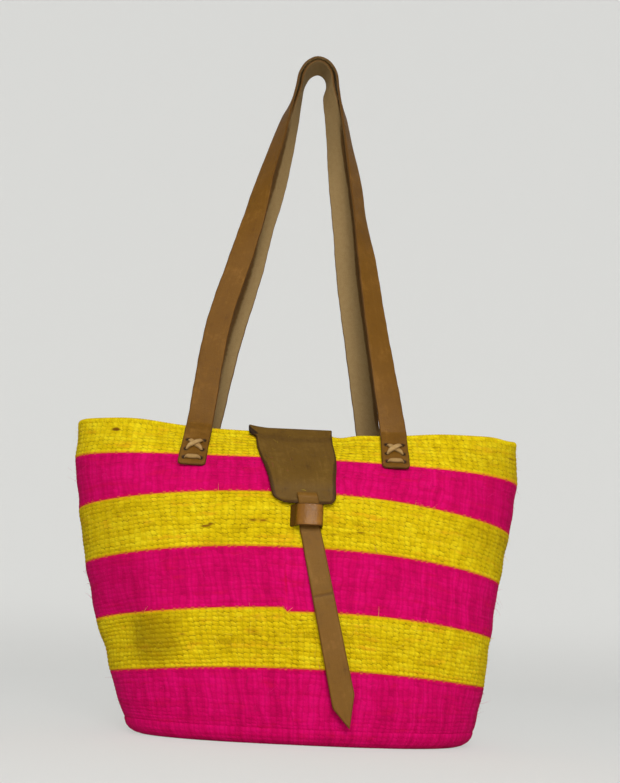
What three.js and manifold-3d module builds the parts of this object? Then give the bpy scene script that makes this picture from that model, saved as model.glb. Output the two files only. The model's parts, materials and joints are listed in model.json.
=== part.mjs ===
// Kiondo: a hand-woven sisal basket with two leather straps, a leather flap and a tongue that threads
// through a keeper. Millimetres, +Z up, the front faces -Y, and the origin is the centre of the flat floor.
import * as THREE from 'three';
import { mergeVertices } from 'three/addons/utils/BufferGeometryUtils.js';
import Module from 'manifold-3d';

const wasm = await Module();
wasm.setup();

// The woven body
const mouthWidth = 431;
const bellyDepth = 158;
const mouthDepth = 104;
const pinchedDepth = 70;
const rimHeight = 276;
const wallThickness = 4.5;
const floorThickness = 5;
const hemRadius = 3.4;
const floorShift = 13;
const yarnGap = 0.3;

// The leather
const strapWidth = 25;
const strapThickness = 2.6;
const strapRise = 455;
const crownHalfWidth = 23.5;
const crownHeight = 40;
const crownClearance = 2.4;
const footLength = 50;
const footDrop = 6.5;
const footSpacing = 184;
const seatGap = 0.4;
const bendGap = 0.4;
const thongRadius = 1.4;
const laceHoleRadius = 1.8;
const laceHoleSpread = 15;
const footCorner = 4;
const flapThickness = 2.8;
const flapWidth = 76;
const flapTabLength = 38;
const flapTabCorner = 5;
const flapSag = 3;
const tongueWidth = 18;
const tongueThickness = 2.4;
const tailLength = 155;
const keeperThickness = 2.2;
const keeperHeight = 19;
const keeperFace = 22.6;
const keeperRise = 10.5;
const keeperLeftSplay = 7;
const keeperRightSplay = 1.5;
const slitGap = 0.4;

// Facets
const aroundSteps = 56;
const bandSteps = 2;
const hemSides = 8;
const strapSteps = 72;
const thongSides = 5;
const laceHoleSides = 6;
const baseTurnSteps = 3;
const crownSteps = 6;
const hemBendSteps = 3;
const cornerSteps = 4;

// How far every cut runs past the leather or the wall
const cutOverrun = 6;

const colours = {
  yellow: { color: 0xe1c814, roughness: 0.85 },
  magenta: { color: 0xcf0a5c, roughness: 0.85 },
  strap: { color: 0x8a5c2c, roughness: 0.5 },
  flap: { color: 0x6c4c1e, roughness: 0.55 },
  keeper: { color: 0x9a6426, roughness: 0.35 },
  tongue: { color: 0x8c643a, roughness: 0.55 },
  thong: { color: 0xbe9664, roughness: 0.65 },
};
const materials = {};
for (const [name, look] of Object.entries(colours)) {
  materials[name] = new THREE.MeshStandardMaterial({ ...look, metalness: 0 });
}

const basket = new THREE.Group();
basket.name = 'kiondo_basket';

function add(name, geometry, look) {
  const mesh = new THREE.Mesh(geometry, materials[look]);
  mesh.name = name;
  basket.add(mesh);
  return mesh;
}

// Meshes and solids

function bodyFrom(points, faces) {
  const geometry = new THREE.BufferGeometry();
  const places = points.flatMap((p) => p.toArray());
  geometry.setAttribute('position', new THREE.Float32BufferAttribute(places, 3));
  let volume = 0;
  for (const [a, b, c] of faces) {
    volume += points[a].dot(new THREE.Vector3().crossVectors(points[b], points[c]));
  }
  geometry.setIndex(faces.flatMap(([a, b, c]) => (volume < 0 ? [a, c, b] : [a, b, c])));
  return geometry;
}

// Joins rings of points, each with as many points as the next. A looped loft closes on its first ring,
// and an open one gets a cap at both ends.
function loft(rings, looped) {
  const around = rings[0].length;
  const points = rings.flat();
  const faces = [];
  const spans = looped ? rings.length : rings.length - 1;
  for (let k = 0; k < spans; k += 1) {
    const here = k * around;
    const next = ((k + 1) % rings.length) * around;
    for (let j = 0; j < around; j += 1) {
      const i = (j + 1) % around;
      faces.push([here + j, here + i, next + i], [here + j, next + i, next + j]);
    }
  }
  if (!looped) {
    for (const k of [0, rings.length - 1]) {
      const centre = new THREE.Vector3();
      rings[k].forEach((p) => centre.addScaledVector(p, 1 / around));
      points.push(centre);
      for (let j = 0; j < around; j += 1) {
        const i = (j + 1) % around;
        const [a, b] = k === 0 ? [i, j] : [j, i];
        faces.push([k * around + a, k * around + b, points.length - 1]);
      }
    }
  }
  return bodyFrom(points, faces);
}

function solidOf(geometry) {
  const bare = geometry.clone();
  bare.deleteAttribute('normal');
  bare.deleteAttribute('uv');
  const merged = mergeVertices(bare);
  return new wasm.Manifold(new wasm.Mesh({
    numProp: 3,
    vertProperties: new Float32Array(merged.attributes.position.array),
    triVerts: new Uint32Array(merged.index.array),
  }));
}

function geometryOf(solid) {
  const mesh = solid.getMesh();
  const geometry = new THREE.BufferGeometry();
  geometry.setAttribute('position', new THREE.BufferAttribute(new Float32Array(mesh.vertProperties), 3));
  geometry.setIndex(new THREE.BufferAttribute(new Uint32Array(mesh.triVerts), 1));
  return geometry;
}

function joined(geometries) {
  return geometryOf(geometries.map(solidOf).reduce((whole, solid) => whole.add(solid)));
}

function cut(geometry, tools) {
  const whole = solidOf(geometry);
  return geometryOf(tools.map(solidOf).reduce((left, tool) => left.subtract(tool), whole));
}

// The woven wall

// One row for each change of yarn, from the floor's edge up to the rim. front, left and right are the
// heights in front and at the two ends as shares of the rim's height, width and depth are shares of the
// mouth's width and the belly's depth, and shift is the share of the floor's shift that is left.
const levelShares = [
  { front: 0, left: 0, right: 0, width: 0.63, depth: 0.74, shift: 1 },
  { front: 0.047, left: 0.047, right: 0.047, width: 0.713, depth: 0.9, shift: 1 },
  { front: 0.214, left: 0.178, right: 0.178, width: 0.772, depth: 0.96, shift: 0.82 },
  { front: 0.384, left: 0.333, right: 0.33, width: 0.829, depth: 0.985, shift: 0.45 },
  { front: 0.569, left: 0.511, right: 0.502, width: 0.889, depth: 1, shift: 0.16 },
  { front: 0.743, left: 0.692, right: 0.668, width: 0.946, depth: 0.975, shift: 0.05 },
  { front: 0.866, left: 0.87, right: 0.842, width: 0.993, depth: 0.86, shift: 0 },
  { front: 0.966, left: 1, right: 0.995, width: 1, depth: mouthDepth / bellyDepth, shift: 0 },
];
const rimLevel = levelShares.length - 1;

// roundness is the power that squares the section's corners, and droop the power of a row's curve from its
// middle to its ends. The mouth is pinched in the middle: from a level up, by a power of the climb, and
// over a share of the width with a sharpness.
const wallFormShares = {
  roundness: 0.8,
  droop: 2.2,
  pinchFrom: 5,
  pinchClimb: 1.5,
  pinchReach: 0.6,
  pinchSharpness: 6,
};

function between(values, level) {
  const k = Math.min(Math.floor(level), values.length - 2);
  const before = values[k - 1] ?? 2 * values[k] - values[k + 1];
  const after = values[k + 2] ?? 2 * values[k + 1] - values[k];
  const t = level - k;
  const rise = (values[k + 1] - before) / 2;
  const fall = (after - values[k]) / 2;
  const bend = values[k] - values[k + 1];
  return values[k] + t * (rise + t * (-3 * bend - 2 * rise - fall + t * (2 * bend + rise + fall)));
}

function levelAt(level) {
  const share = (key) => between(levelShares.map((row) => row[key]), level);
  const { pinchFrom, pinchClimb } = wallFormShares;
  const climb = Math.max(0, level - pinchFrom) / (rimLevel - pinchFrom);
  return {
    front: share('front') * rimHeight,
    left: share('left') * rimHeight,
    right: share('right') * rimHeight,
    halfWidth: share('width') * mouthWidth / 2,
    halfDepth: share('depth') * bellyDepth / 2,
    shift: share('shift') * floorShift - floorShift,
    pinch: (1 - pinchedDepth / mouthDepth) * climb ** pinchClimb,
  };
}

// A point of the wall at a level, at an angle from +X, inset from the outer surface.
function skin(level, angle, inset) {
  const at = levelAt(level);
  const { roundness, droop, pinchReach, pinchSharpness } = wallFormShares;
  const c = Math.cos(angle);
  const s = Math.sin(angle);
  const across = Math.sign(c) * Math.abs(c) ** roundness;
  const squeeze = 1 / (1 + Math.abs(across / pinchReach) ** pinchSharpness);
  const deep = Math.sign(s) * Math.abs(s) ** roundness * (1 - at.pinch * squeeze);
  const end = across < 0 ? at.left : at.right;
  return new THREE.Vector3(
    at.shift + across * (at.halfWidth - inset),
    deep * (at.halfDepth - inset),
    at.front + (end - at.front) * Math.abs(across) ** droop,
  );
}

// The same, in front (side -1) or behind (side 1), at a distance across from the rim's centre.
function face(side, across, level, inset = 0) {
  const at = levelAt(level);
  const share = (across - floorShift - at.shift) / (at.halfWidth - inset);
  const c = Math.sign(share) * Math.abs(share) ** (1 / wallFormShares.roundness);
  return skin(level, side * Math.acos(c), inset);
}

function ring(level, inset, lift = 0) {
  const points = [];
  for (let j = 0; j < aroundSteps; j += 1) {
    const angle = (j / aroundSteps) * 2 * Math.PI;
    const point = skin(typeof level === 'number' ? level : level(angle), angle, inset);
    point.z += lift;
    points.push(point);
  }
  return points;
}

// The level at which the rim's band meets the underside of the hem.
function underHem(angle) {
  const height = skin(rimLevel, angle, 0).z - skin(rimLevel - 1, angle, 0).z;
  return rimLevel - (hemRadius + yarnGap) / height;
}

// A band of weft between two levels, both skins and both edges.
function band(from, to) {
  const outside = [];
  const inside = [];
  for (let k = 0; k <= bandSteps; k += 1) {
    const level = (angle) => from + (to(angle) - from) * (k / bandSteps);
    const lift = k === 0 ? yarnGap : 0;
    outside.push(ring(level, 0, lift));
    inside.unshift(ring(level, wallThickness, lift));
  }
  return loft([...outside, ...inside], true);
}

// The base is a shallow dish with a rounded edge, up to the first row of the wall.
function wovenBase() {
  const turn = (k) => (k / baseTurnSteps) * (Math.PI / 2);
  const floorRing = ring(0, 0);
  const cornerRing = ring(1, 0);
  const rings = [];
  for (let k = 0; k <= baseTurnSteps; k += 1) {
    rings.push(floorRing.map((p, j) => new THREE.Vector3(
      p.x + (cornerRing[j].x - p.x) * Math.sin(turn(k)),
      p.y + (cornerRing[j].y - p.y) * Math.sin(turn(k)),
      p.z + (cornerRing[j].z - p.z) * (1 - Math.cos(turn(k))),
    )));
  }
  rings.push(ring(1, wallThickness));
  rings.push(ring(0, 0, floorThickness));
  return loft(rings, false);
}

// The hem is the rolled edge of the weave, a tube that rests on the rim's band.
function rimHem() {
  const middle = ring(rimLevel, wallThickness / 2);
  const outside = ring(rimLevel, 0);
  const rings = [];
  for (let j = 0; j < aroundSteps; j += 1) {
    const out = outside[j].clone().sub(middle[j]).normalize();
    const section = [];
    for (let k = 0; k < hemSides; k += 1) {
      const turn = ((k + 0.5) / hemSides) * 2 * Math.PI;
      const point = middle[j].clone().addScaledVector(out, hemRadius * Math.cos(turn));
      point.z += hemRadius * Math.sin(turn);
      section.push(point);
    }
    rings.push(section);
  }
  return loft(rings, true);
}

// A flat frame that lies on the wall: X along the rim, Y up the wall, Z out of the basket.
function wallFrame(side, across, level, reach) {
  const origin = face(side, across, level);
  const up = face(side, across, level + reach).sub(face(side, across, level - reach)).normalize();
  const half = strapWidth / 2;
  const along = face(side, across + half, level).sub(face(side, across - half, level));
  along.multiplyScalar(-side);
  const out = along.clone().cross(up).normalize();
  const right = up.clone().cross(out);
  return new THREE.Matrix4().makeBasis(right, up, out).setPosition(origin);
}

// How far the wall, and the hem where a piece crosses it, reach out of or into a frame under a piece.
const acrossSampleShares = [-1, -0.5, 0, 0.5, 1];

function reachUnder(frame, side, across, halfWidth, levels, inset) {
  const back = frame.clone().invert();
  return levels.flatMap((level) => acrossSampleShares.map((x) => (
    face(side, across + x * halfWidth, level, inset).applyMatrix4(back).z
  )));
}

// Leather feet, and the thongs that lace them to the wall

const holeLetters = 'abcdefgh';
const halfBandShare = 1 / 2;
const plateReachShare = 0.7;
const plateLevels = acrossSampleShares.map((share) => rimLevel - plateReachShare + share * plateReachShare);

// A plate of leather that leans with the rim's band, with its top edge a rise above the middle of the hem.
// A drop moves its holes and its lower end down.
function rimPlate(side, across, width, length, rise, drop = 0) {
  const frame = wallFrame(side, across, rimLevel - halfBandShare, halfBandShare);
  const back = frame.clone().invert();
  const hem = face(side, across, rimLevel, wallThickness / 2).applyMatrix4(back);
  const top = hem.y + rise;
  const outer = reachUnder(frame, side, across, width / 2, plateLevels, 0);
  const inner = reachUnder(frame, side, across, width / 2, plateLevels, wallThickness);
  return {
    frame,
    width,
    top,
    drop,
    bottom: top - length - drop,
    under: Math.max(...outer, hem.z + hemRadius) + seatGap,
    innerReach: Math.min(...inner),
  };
}

function plateOutline(plate, corner) {
  const half = plate.width / 2;
  const shape = new THREE.Shape();
  shape.moveTo(-half, plate.top);
  shape.lineTo(-half, plate.bottom + corner);
  shape.quadraticCurveTo(-half, plate.bottom, -half + corner, plate.bottom);
  shape.lineTo(half - corner, plate.bottom);
  shape.quadraticCurveTo(half, plate.bottom, half, plate.bottom + corner);
  shape.lineTo(half, plate.top);
  return shape;
}

function plateWithHoles(plate, thickness, holes, corner) {
  const shape = plateOutline(plate, corner);
  for (const hole of holes) {
    const path = new THREE.Path();
    path.absarc(hole.x, hole.y, laceHoleRadius, 0, 2 * Math.PI, true);
    shape.holes.push(path);
  }
  const options = { depth: thickness, bevelEnabled: false, curveSegments: cornerSteps };
  const leather = new THREE.ExtrudeGeometry(shape, options);
  return leather.translate(0, 0, plate.under).applyMatrix4(plate.frame);
}

function rod(from, to, radius, sides) {
  const length = from.distanceTo(to);
  const geometry = new THREE.CylinderGeometry(radius, radius, length, sides);
  const turn = new THREE.Quaternion().setFromUnitVectors(
    new THREE.Vector3(0, 1, 0),
    to.clone().sub(from).normalize(),
  );
  geometry.applyQuaternion(turn);
  const middle = from.clone().add(to).divideScalar(2);
  return geometry.translate(middle.x, middle.y, middle.z);
}

// One thong: runs over the leather from hole to hole, stems through the wall, and runs inside. Each run is
// two letters, and the holes are lettered row by row from the top left.
function thong(plate, thickness, holes, runs) {
  const outside = plate.under + thickness + seatGap + thongRadius;
  const inside = plate.innerReach - seatGap - thongRadius;
  const at = (k, z) => new THREE.Vector3(holes[k].x, holes[k].y, z);
  const run = (letters, z) => {
    const [from, to] = [...letters].map((letter) => at(holeLetters.indexOf(letter), z));
    const over = to.clone().sub(from).setLength(thongRadius / 2);
    return rod(from.sub(over), to.add(over), thongRadius, thongSides);
  };
  const stems = holes.map((hole, k) => rod(at(k, inside), at(k, outside), thongRadius, thongSides));
  const over = runs.outer.map((letters) => run(letters, outside));
  const under = runs.inner.map((letters) => run(letters, inside));
  return joined([...stems, ...over, ...under]).applyMatrix4(plate.frame);
}

function laceCuts(plate, holes) {
  return holes.map((hole) => rod(
    new THREE.Vector3(hole.x, hole.y, plate.innerReach - cutOverrun),
    new THREE.Vector3(hole.x, hole.y, plate.under + cutOverrun),
    laceHoleRadius,
    laceHoleSides,
  ).applyMatrix4(plate.frame));
}

// Rows of holes down a foot, as shares of its length. The thong makes a cross between the first two rows
// and a bar on the third.
const footRowShares = [0.38, 0.64, 0.85];
const footRuns = { outer: ['ad', 'bc', 'ef'], inner: ['ac', 'ce', 'bd', 'df'] };

function footHoles(plate) {
  return footRowShares.flatMap((share) => [-1, 1].map((x) => (
    { x: x * laceHoleSpread / 2, y: plate.top - plate.drop - share * footLength }
  )));
}

// Rows of holes down the flap's tab: four stitches side by side.
const tabColumnShares = [-0.4, -0.14, 0.14, 0.4];
const tabRowShares = [0.3, 0.6];
const tabRuns = { outer: ['ae', 'bf', 'cg', 'dh'], inner: ['ef', 'bc', 'gh'] };

function tabHoles(plate) {
  return tabRowShares.flatMap((row) => tabColumnShares.map((column) => (
    { x: column * plate.width, y: plate.top - row * flapTabLength }
  )));
}

// Where the feet stand, across from the rim's centre, and how far each is laced below the usual place.
const footCentreShares = {
  front: { left: -0.52, right: 0.48 },
  rear: { left: -0.535, right: 0.39 },
};
const footDropShares = {
  front: { left: 1, right: 0 },
  rear: { left: 0, right: 0 },
};
const sides = { front: -1, rear: 1 };
const footRise = hemRadius + seatGap;
const wallCuts = [];
const feet = {};

for (const [place, side] of Object.entries(sides)) {
  for (const [hand, share] of Object.entries(footCentreShares[place])) {
    const drop = footDropShares[place][hand] * footDrop;
    const plate = rimPlate(side, share * footSpacing, strapWidth, footLength, footRise, drop);
    const holes = footHoles(plate);
    feet[`${place}_${hand}`] = plate;
    wallCuts.push(...laceCuts(plate, holes));
    const leather = plateWithHoles(plate, strapThickness, holes, footCorner);
    const lacing = thong(plate, strapThickness, holes, footRuns);
    add(`${place}_strap_foot_${hand}`, leather, 'strap');
    add(`${place}_lacing_${hand}`, lacing, 'thong');
  }
}

// The straps

// The front edge of each strap's legs, from the foot up to the crown. across is a share of the spacing of
// the feet, rise a share of the strap's rise, and turn the angle in degrees from edge-on to the front.
const frontLegShares = {
  left: [
    { across: -0.4085, rise: 0.245, turn: 92 },
    { across: -0.3142, rise: 0.425, turn: 92 },
    { across: -0.2587, rise: 0.539, turn: 75 },
    { across: -0.2266, rise: 0.646, turn: 53 },
    { across: -0.1811, rise: 0.745, turn: 43 },
    { across: -0.1463, rise: 0.85, turn: 24 },
  ],
  right: [
    { across: 0.3253, rise: 0.245, turn: -66 },
    { across: 0.2708, rise: 0.425, turn: -54 },
    { across: 0.242, rise: 0.539, turn: -36 },
    { across: 0.2087, rise: 0.646, turn: -35 },
    { across: 0.1731, rise: 0.76, turn: -23 },
    { across: 0.1446, rise: 0.85, turn: -16 },
  ],
};
const rearLegShares = {
  left: [
    { across: -0.4991, rise: 0.26, turn: -88 },
    { across: -0.3848, rise: 0.425, turn: -70 },
    { across: -0.3427, rise: 0.539, turn: -60 },
    { across: -0.2697, rise: 0.646, turn: -45 },
    { across: -0.2155, rise: 0.745, turn: -34 },
    { across: -0.146, rise: 0.85, turn: -14 },
  ],
  right: [
    { across: 0.3654, rise: 0.245, turn: 88 },
    { across: 0.295, rise: 0.425, turn: 76 },
    { across: 0.2672, rise: 0.539, turn: 80 },
    { across: 0.2282, rise: 0.646, turn: 68 },
    { across: 0.1765, rise: 0.76, turn: 46 },
    { across: 0.142, rise: 0.85, turn: 38 },
  ],
};
const rimTop = levelAt(rimLevel).front + hemRadius;

// The line that a plate's leather bends on: the outer edge of its top, in the basket's frame.
function bendLine(plate, thickness) {
  return new THREE.Vector3(0, plate.top, plate.under + thickness).applyMatrix4(plate.frame);
}

function strapStations(place, legs, inset) {
  const left = feet[`${place}_left`];
  const right = feet[`${place}_right`];
  const side = sides[place];
  const stations = [];
  const crownCentre = rimTop + strapRise - crownHeight;
  const foot = (plate, hand) => {
    const bend = bendLine(plate, strapThickness);
    const turn = -hand * side * Math.PI / 2;
    return {
      x: bend.x + Math.sin(turn) * strapWidth / 2,
      y: bend.y - side * strapThickness / 2,
      z: bend.z + bendGap,
      turn,
    };
  };
  const first = foot(left, 1);
  const last = foot(right, -1);
  const leg = (rows, start) => rows.map((row) => ({
    x: row.across * footSpacing - floorShift,
    y: start.y * (1 - row.rise),
    z: rimTop + row.rise * strapRise,
    turn: THREE.MathUtils.degToRad(row.turn),
  }));
  stations.push(first, ...leg(legs.left, first));
  for (let k = 0; k <= crownSteps; k += 1) {
    const angle = Math.PI * (1 - k / crownSteps);
    stations.push({
      x: (crownHalfWidth - inset) * Math.cos(angle) - floorShift,
      y: 0,
      z: crownCentre + (crownHeight - inset) * Math.sin(angle),
      turn: 0,
    });
  }
  stations.push(...leg(legs.right, last).reverse(), last);
  return stations;
}

function strap(place, legs, inset) {
  const stations = strapStations(place, legs, inset);
  const points = stations.map((s) => new THREE.Vector3(s.x, s.y, s.z));
  const spine = new THREE.CatmullRomCurve3(points, false, 'centripetal');
  const turns = stations.map((s) => s.turn);
  const rings = [];
  for (let k = 0; k <= strapSteps; k += 1) {
    const t = k / strapSteps;
    const turn = between(turns, t * (turns.length - 1));
    const wide = new THREE.Vector3(Math.sin(turn), -Math.cos(turn), 0);
    const edge = spine.getPoint(t);
    edge.y -= Math.cos(turn) * strapWidth / 2;
    const thick = spine.getTangent(t).cross(wide).setLength(strapThickness / 2);
    const back = edge.clone().addScaledVector(wide, -strapWidth);
    rings.push([
      edge.clone().add(thick), edge.clone().sub(thick),
      back.clone().sub(thick), back.clone().add(thick),
    ]);
  }
  return loft(rings, false);
}

add('front_strap', strap('front', frontLegShares, 0), 'strap');
add('rear_strap', strap('rear', rearLegShares, strapThickness + crownClearance), 'strap');

// The flap, from its tab on the rear wall over the mouth to the front

const tabWidthShare = 0.92;
const flapRearShare = -0.11;
const flapRear = flapRearShare * flapWidth;
const tab = rimPlate(sides.rear, flapRear, flapWidth * tabWidthShare, flapTabLength, 0);
const tabLaceHoles = tabHoles(tab);
wallCuts.push(...laceCuts(tab, tabLaceHoles));
add('flap_tab', plateWithHoles(tab, flapThickness, tabLaceHoles, flapTabCorner), 'flap');
add('flap_lacing', thong(tab, flapThickness, tabLaceHoles, tabRuns), 'thong');

// Rows down the front of the flap: the level of the wall, the middle and half width as shares of the
// flap's width, and how far the flap's back stands off the wall as a share of its thickness.
const flapRowShares = [
  { level: 6.85, middle: -0.1, half: 0.495, off: 0.55 },
  { level: 6.5, middle: -0.07, half: 0.475, off: 0.4 },
  { level: 6, middle: -0.01, half: 0.45, off: 0.4 },
  { level: 5.6, middle: 0.04, half: 0.42, off: 0.8 },
  { level: 5.3, middle: 0.07, half: 0.4, off: 1.25 },
  { level: 5.1, middle: 0.09, half: 0.385, off: 1.25 },
  { level: 4.95, middle: 0.11, half: 0.375, off: 0.75 },
  { level: 4.87, middle: 0.13, half: 0.34, off: 0.5 },
  { level: 4.8, middle: 0.155, half: 0.27, off: 0.4 },
];

// A point off the front wall, with the way out of the wall there, square to X.
const slopeStepShare = 0.1;

function offWall(across, level, off) {
  const above = face(sides.front, across, level + slopeStepShare);
  const slope = above.sub(face(sides.front, across, level - slopeStepShare));
  const out = new THREE.Vector3(0, -slope.z, slope.y).normalize();
  return { centre: face(sides.front, across, level).addScaledVector(out, off), out };
}

// A strip of leather through stations, each with its middle, its outward side and its half width.
function strip(stations, thickness, spare = 0) {
  return loft(stations.map(({ centre, out, half }) => {
    const deep = out.clone().multiplyScalar(thickness / 2 + spare);
    const wide = new THREE.Vector3(half + spare, 0, 0);
    return [
      centre.clone().add(wide).add(deep), centre.clone().sub(wide).add(deep),
      centre.clone().sub(wide).sub(deep), centre.clone().add(wide).sub(deep),
    ];
  }), false);
}

function flapStations() {
  const pivot = bendLine(tab, flapThickness);
  const half = flapWidth / 2;
  const rear = face(sides.rear, flapRear, rimLevel, wallThickness / 2);
  const front = face(sides.front, flapRear, rimLevel, wallThickness / 2);
  const radius = Math.hypot(pivot.y - rear.y, pivot.z - rear.z) - flapThickness / 2;
  const start = Math.atan2(pivot.z - rear.z, pivot.y - rear.y) + bendGap / radius;
  const over = (hem, angle, width) => {
    const out = new THREE.Vector3(0, Math.cos(angle), Math.sin(angle));
    return { centre: hem.clone().addScaledVector(out, radius), out, half: width };
  };
  const top = Math.PI / 2;
  const sag = rear.clone().lerp(front, 1 / 2);
  sag.z += radius - flapSag;
  const bend = (k) => start + (top - start) * (k / hemBendSteps);
  const stations = [];
  for (let k = 0; k <= hemBendSteps; k += 1) {
    stations.push(over(rear, bend(k), half * (k === 0 ? tabWidthShare : 1)));
  }
  stations.push({ centre: sag, out: new THREE.Vector3(0, 0, 1), half });
  for (let k = hemBendSteps; k > 0; k -= 1) {
    stations.push(over(front, Math.PI - bend(k), half));
  }
  for (const row of flapRowShares) {
    const off = row.off * flapThickness + flapThickness / 2;
    const at = offWall(row.middle * flapWidth, row.level, off);
    stations.push({ ...at, half: row.half * flapWidth });
  }
  return stations;
}

// The tongue's head lies behind the flap. The tongue comes out through a slit and goes down through the
// keeper. off is the share of the flap's thickness between the wall and the tongue's middle.
const tongueRowShares = [
  { level: 5.42, across: 0.1, off: 0.62 },
  { level: 5.2, across: 0.12, off: 0.66 },
  { level: 5.1, across: 0.13, off: 0.75 },
  { level: 4.94, across: 0.15, off: 2.4 },
  { level: 4.86, across: 0.16, off: 2.28 },
  { level: 4.78, across: 0.165, off: 1.95 },
  { level: 4.7, across: 0.167, off: 1.3 },
  { level: 4.6, across: 0.167, off: 1.15 },
  { level: 4.3, across: 0.168, off: 1.15 },
  { level: 4.19, across: 0.19, off: 1.15 },
];

const tongueStations = tongueRowShares.map((row) => (
  { ...offWall(row.across * flapWidth, row.level, row.off * flapThickness), half: tongueWidth / 2 }
));
const flapSolid = strip(flapStations(), flapThickness);
add('flap', cut(flapSolid, [strip(tongueStations, tongueThickness, slitGap)]), 'flap');
add('tongue', strip(tongueStations, tongueThickness), 'tongue');

// The tongue's tail hangs from just below the keeper, slanting to a point at the right.
const tailSlantDegrees = 13.4;
const tailPointShares = [
  { down: 0.84, across: 0.545 },
  { down: 1, across: 0.03 },
  { down: 0.885, across: -0.54 },
];

function tongueTail() {
  const neck = tongueStations.at(-1);
  const slant = THREE.MathUtils.degToRad(tailSlantDegrees);
  const hang = new THREE.Vector2(Math.sin(slant), -Math.cos(slant));
  const shape = new THREE.Shape();
  shape.moveTo(-tongueWidth / 2, 0);
  shape.lineTo(tongueWidth / 2, 0);
  for (const point of tailPointShares) {
    const down = point.down * tailLength;
    const across = point.across * tongueWidth;
    shape.lineTo(down * hang.x - across * hang.y, down * hang.y + across * hang.x);
  }
  shape.closePath();
  return new THREE.ExtrudeGeometry(shape, { depth: tongueThickness, bevelEnabled: false })
    .rotateX(Math.PI / 2)
    .translate(neck.centre.x, neck.centre.y + tongueThickness / 2, neck.centre.z - bendGap);
}

add('tongue_tail', tongueTail(), 'tongue');

// The keeper: a strap of leather bridged over the tongue, through two slits in the wall and folded inside.
const keeperLevelShare = 4.56;
const keeperSpanShare = 0.15;
const keeperAcrossShare = 0.17;
const keeperLipShare = 0.42;

function keeper() {
  const across = keeperAcrossShare * flapWidth;
  const frame = wallFrame(sides.front, across, keeperLevelShare, keeperSpanShare);
  const levels = acrossSampleShares.map((share) => keeperLevelShare + share * keeperSpanShare);
  const inner = reachUnder(frame, sides.front, across, keeperFace, levels, wallThickness);
  const inside = Math.min(...inner) - seatGap;
  const half = keeperFace / 2;
  const left = half + keeperLeftSplay;
  const right = half + keeperRightSplay;
  const lip = keeperLipShare * keeperFace;
  const k = keeperThickness;
  const outline = [
    [-left + lip, inside - k],
    [-left, inside - k],
    [-left, 0],
    [-half, keeperRise - k],
    [-half + k, keeperRise],
    [half - k, keeperRise],
    [half, keeperRise - k],
    [right, 0],
    [right, inside - k],
    [right - lip, inside - k],
    [right - lip, inside],
    [right - k, inside],
    [right - k, 0],
    [half - k, keeperRise - k],
    [-half + k, keeperRise - k],
    [-left + k, 0],
    [-left + k, inside],
    [-left + lip, inside],
  ];
  const shape = new THREE.Shape(outline.map(([x, y]) => new THREE.Vector2(x, y)));
  const body = new THREE.ExtrudeGeometry(shape, { depth: keeperHeight, bevelEnabled: false });
  body.translate(0, 0, -keeperHeight / 2).rotateX(Math.PI / 2).applyMatrix4(frame);
  const slit = (x) => new THREE.BoxGeometry(
    k + 2 * slitGap,
    keeperHeight + 2 * slitGap,
    wallThickness + 2 * cutOverrun,
  ).translate(x, 0, -wallThickness / 2).applyMatrix4(frame);
  return { body, slits: [slit(-left + k / 2), slit(right - k / 2)] };
}

const keeperParts = keeper();
add('keeper', keeperParts.body, 'keeper');

// The woven pieces

add('woven_base', wovenBase(), 'magenta');
const bandNames = [
  ['magenta_band_lower', 'magenta'],
  ['yellow_band_lower', 'yellow'],
  ['magenta_band_middle', 'magenta'],
  ['yellow_band_upper', 'yellow'],
  ['magenta_band_upper', 'magenta'],
];
bandNames.forEach(([name, look], k) => {
  const wall = band(k + 1, () => k + 2);
  const slits = k + 1 === Math.floor(keeperLevelShare) ? keeperParts.slits : [];
  const holes = k + 1 === rimLevel - 2 ? wallCuts : [];
  const tools = [...slits, ...holes];
  add(name, tools.length > 0 ? cut(wall, tools) : wall, look);
});
add('yellow_band_rim', cut(band(rimLevel - 1, underHem), wallCuts), 'yellow');
add('rim_hem', rimHem(), 'yellow');

export default basket;
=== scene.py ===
# %% [markdown]
# # A woven kiondo basket
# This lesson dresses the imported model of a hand-woven sisal basket: twined yarn in two colours, two leather
# straps laced on with thongs, and a leather flap whose tongue goes down through a keeper.
# Everything is in metres, in the model's own frame: +Z is up and the front faces -Y.

# %%
# Load the model
import json
import math

import bpy
import numpy as np
from mathutils import Matrix, Vector

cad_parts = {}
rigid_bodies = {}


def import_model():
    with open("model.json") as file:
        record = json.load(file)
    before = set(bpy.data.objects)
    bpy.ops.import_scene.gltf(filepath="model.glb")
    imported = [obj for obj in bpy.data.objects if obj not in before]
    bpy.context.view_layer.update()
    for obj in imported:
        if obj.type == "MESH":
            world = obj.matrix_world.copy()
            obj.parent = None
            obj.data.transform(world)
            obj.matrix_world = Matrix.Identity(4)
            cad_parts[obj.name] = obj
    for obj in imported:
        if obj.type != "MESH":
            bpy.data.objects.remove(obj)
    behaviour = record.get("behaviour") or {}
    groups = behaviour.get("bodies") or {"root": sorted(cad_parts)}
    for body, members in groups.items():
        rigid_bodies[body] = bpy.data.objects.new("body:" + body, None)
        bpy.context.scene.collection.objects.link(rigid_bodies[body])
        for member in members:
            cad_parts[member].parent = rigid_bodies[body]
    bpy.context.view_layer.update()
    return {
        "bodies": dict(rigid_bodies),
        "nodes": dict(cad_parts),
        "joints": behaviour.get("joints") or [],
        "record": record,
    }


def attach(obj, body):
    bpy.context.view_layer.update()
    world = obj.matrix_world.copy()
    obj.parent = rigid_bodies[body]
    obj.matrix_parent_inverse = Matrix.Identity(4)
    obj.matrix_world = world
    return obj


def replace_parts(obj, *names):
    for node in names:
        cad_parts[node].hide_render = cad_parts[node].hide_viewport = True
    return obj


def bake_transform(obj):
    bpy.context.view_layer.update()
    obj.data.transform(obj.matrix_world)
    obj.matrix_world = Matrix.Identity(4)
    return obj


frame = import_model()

SEED = 11
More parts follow.
